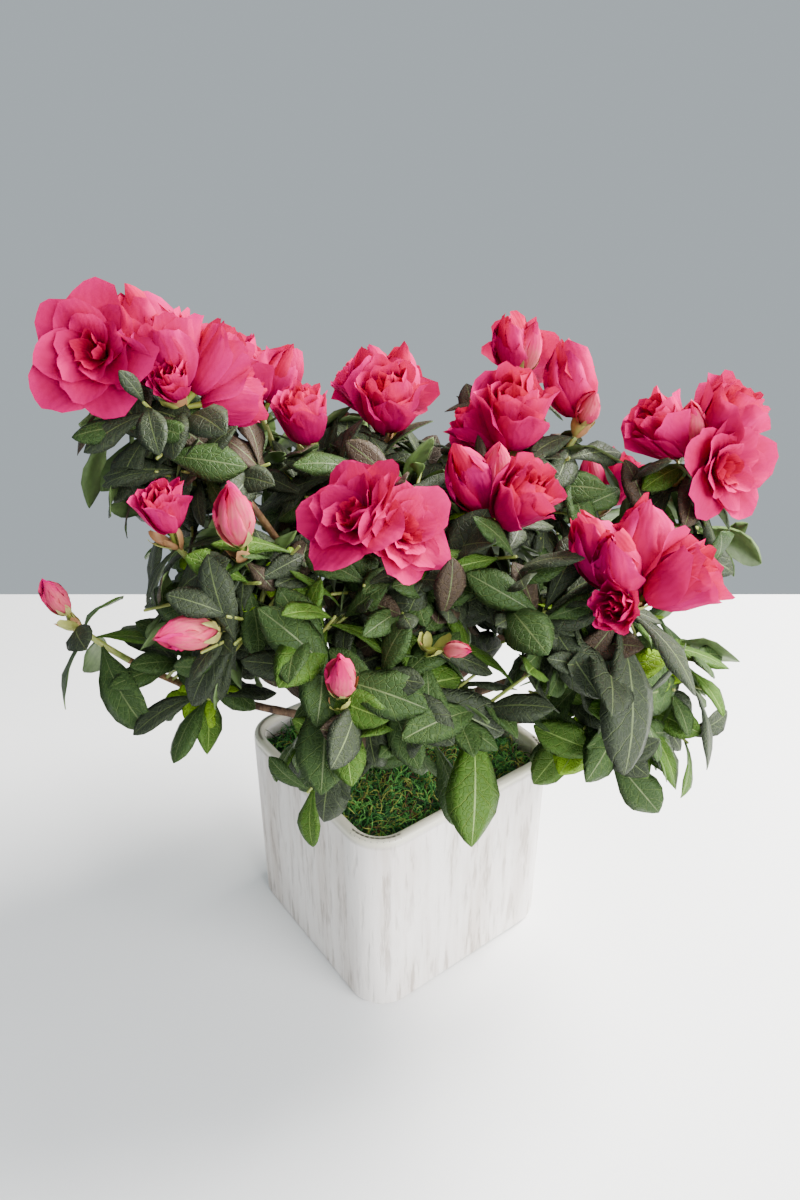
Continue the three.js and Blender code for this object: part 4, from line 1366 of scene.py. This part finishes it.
def model_moss():
    bpy.ops.object.select_all(action="DESELECT")
    side = POT["side"] - 2 * (POT["wall"] + MOSS_GAP)
    corner = POT["corner"] - POT["wall"] - MOSS_GAP
    low = POT["floor"] + MOSS_GAP
    bpy.ops.mesh.primitive_grid_add(x_subdivisions=MOSS_SQUARES, y_subdivisions=MOSS_SQUARES,
                                    size=side * MM, location=(0, 0, FILL_TOP * MM))
    moss = bpy.context.object
    moss.name = "moss_cushion"
    bpy.ops.object.transform_apply(location=True, rotation=True, scale=True)
    middle = (side / 2 - corner) * MM
    for point in moss.data.vertices:
        past = Vector((max(abs(point.co.x) - middle, 0), max(abs(point.co.y) - middle, 0)))
        if past.length > corner * MM:
            past *= corner * MM / past.length
            point.co.x = math.copysign(middle + past.x, point.co.x)
            point.co.y = math.copysign(middle + past.y, point.co.y)
    bpy.ops.object.mode_set(mode="EDIT")
    bpy.ops.mesh.select_all(action="SELECT")
    bpy.ops.mesh.region_to_loop()
    bpy.ops.mesh.extrude_region_move(TRANSFORM_OT_translate={"value": (0, 0, (low - FILL_TOP) * MM)})
    bpy.ops.mesh.edge_face_add()
    bpy.ops.mesh.select_all(action="SELECT")
    bpy.ops.mesh.normals_make_consistent(inside=False)
    bpy.ops.object.mode_set(mode="OBJECT")
    for point in moss.data.vertices:
        if point.co.z > (FILL_TOP - 1) * MM:
            point.co.z = float(moss_height(point.co.x / MM, point.co.y / MM)) * MM
    bpy.ops.object.shade_smooth_by_angle(angle=math.radians(60))
    return moss


moss = model_moss()
moss_finishes = [
    plain_finish("dark_moss", paint(34, 68, 36), 0.95, 500, 0.002),
    plain_finish("green_moss", paint(60, 124, 56), 0.9),
    plain_finish("bright_moss", paint(104, 170, 76), 0.9),
    plain_finish("straw_moss", paint(150, 158, 70), 0.9),
    plain_finish("brown_bits", paint(96, 66, 42), 0.9),
]
moss.data.materials.append(moss_finishes[0])
print("moss cushion faces:", len(moss.data.polygons))

# %% Moss strands
STRANDS, STRAND_SEED = 4200, 11
LINKS, STRAND_SIDES = 6, 3
STRAND_FOOT, STRAND_TIP = 0.42, 0.12
STRAND_KINDS = [1, 1, 1, 1, 2, 2, 2, 3, 3, 0, 0, 4]


def grow_strands(count):
    """The middle lines of all strands: an array of strands by links by three."""
    draw = np.random.default_rng(STRAND_SEED)
    limit = POT["side"] / 2 - POT["wall"] - 2
    at = draw.uniform(-limit, limit, (count, 2))
    corner = np.maximum(np.abs(at) - (limit - 12), 0)
    at = at[np.hypot(*corner.T) < 11]
    n = len(at)
    bearing, lean = draw.uniform(0, 2 * np.pi, n), np.radians(draw.uniform(25, 85, n))
    way = np.stack([np.sin(lean) * np.cos(bearing), np.sin(lean) * np.sin(bearing), np.cos(lean)], -1)
    pivot = units(draw.normal(size=(n, 3)))
    link = draw.uniform(0.9, 1.9, n)
    curl = draw.uniform(0.25, 0.75, n)
    points = [np.column_stack([at, moss_height(*at.T) - 0.4])]
    for _ in range(LINKS):
        step = points[-1] + way * link[:, None]
        floor_here = moss_height(step[:, 0], step[:, 1]) + 0.2
        step[:, 2] = np.clip(step[:, 2], floor_here, POT["height"] - 0.6)
        step[:, :2] = np.clip(step[:, :2], -limit - 1, limit + 1)
        points.append(step)
        way = units(way + np.cross(pivot, way) * curl[:, None] - UP * 0.08)
    return np.stack(points, 1), draw.choice(STRAND_KINDS, n)


def strand_points(line):
    """A thin tube along a strand. Its sides start from a direction that no strand runs along."""
    heading = units(np.gradient(line, axis=0))
    across = units(np.cross(heading, [0.31, 0.52, 0.79]))
    ring, _ = ring_round(across, np.cross(heading, across), STRAND_SIDES)
    radius = np.linspace(STRAND_FOOT, STRAND_TIP, LINKS + 1)[:, None, None]
    return line[:, None] + ring * radius


strands = Joined()
strand_quads = grid_quads(LINKS + 1, STRAND_SIDES, wrap=True)
for line, kind in zip(*grow_strands(STRANDS)):
    strands.add(strand_points(line), (strand_quads, kind))
strand_piece = strands.piece("moss_strands", moss_finishes, turn=False)
for piece in (moss, strand_piece):
    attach(piece, "root")
    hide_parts("moss")
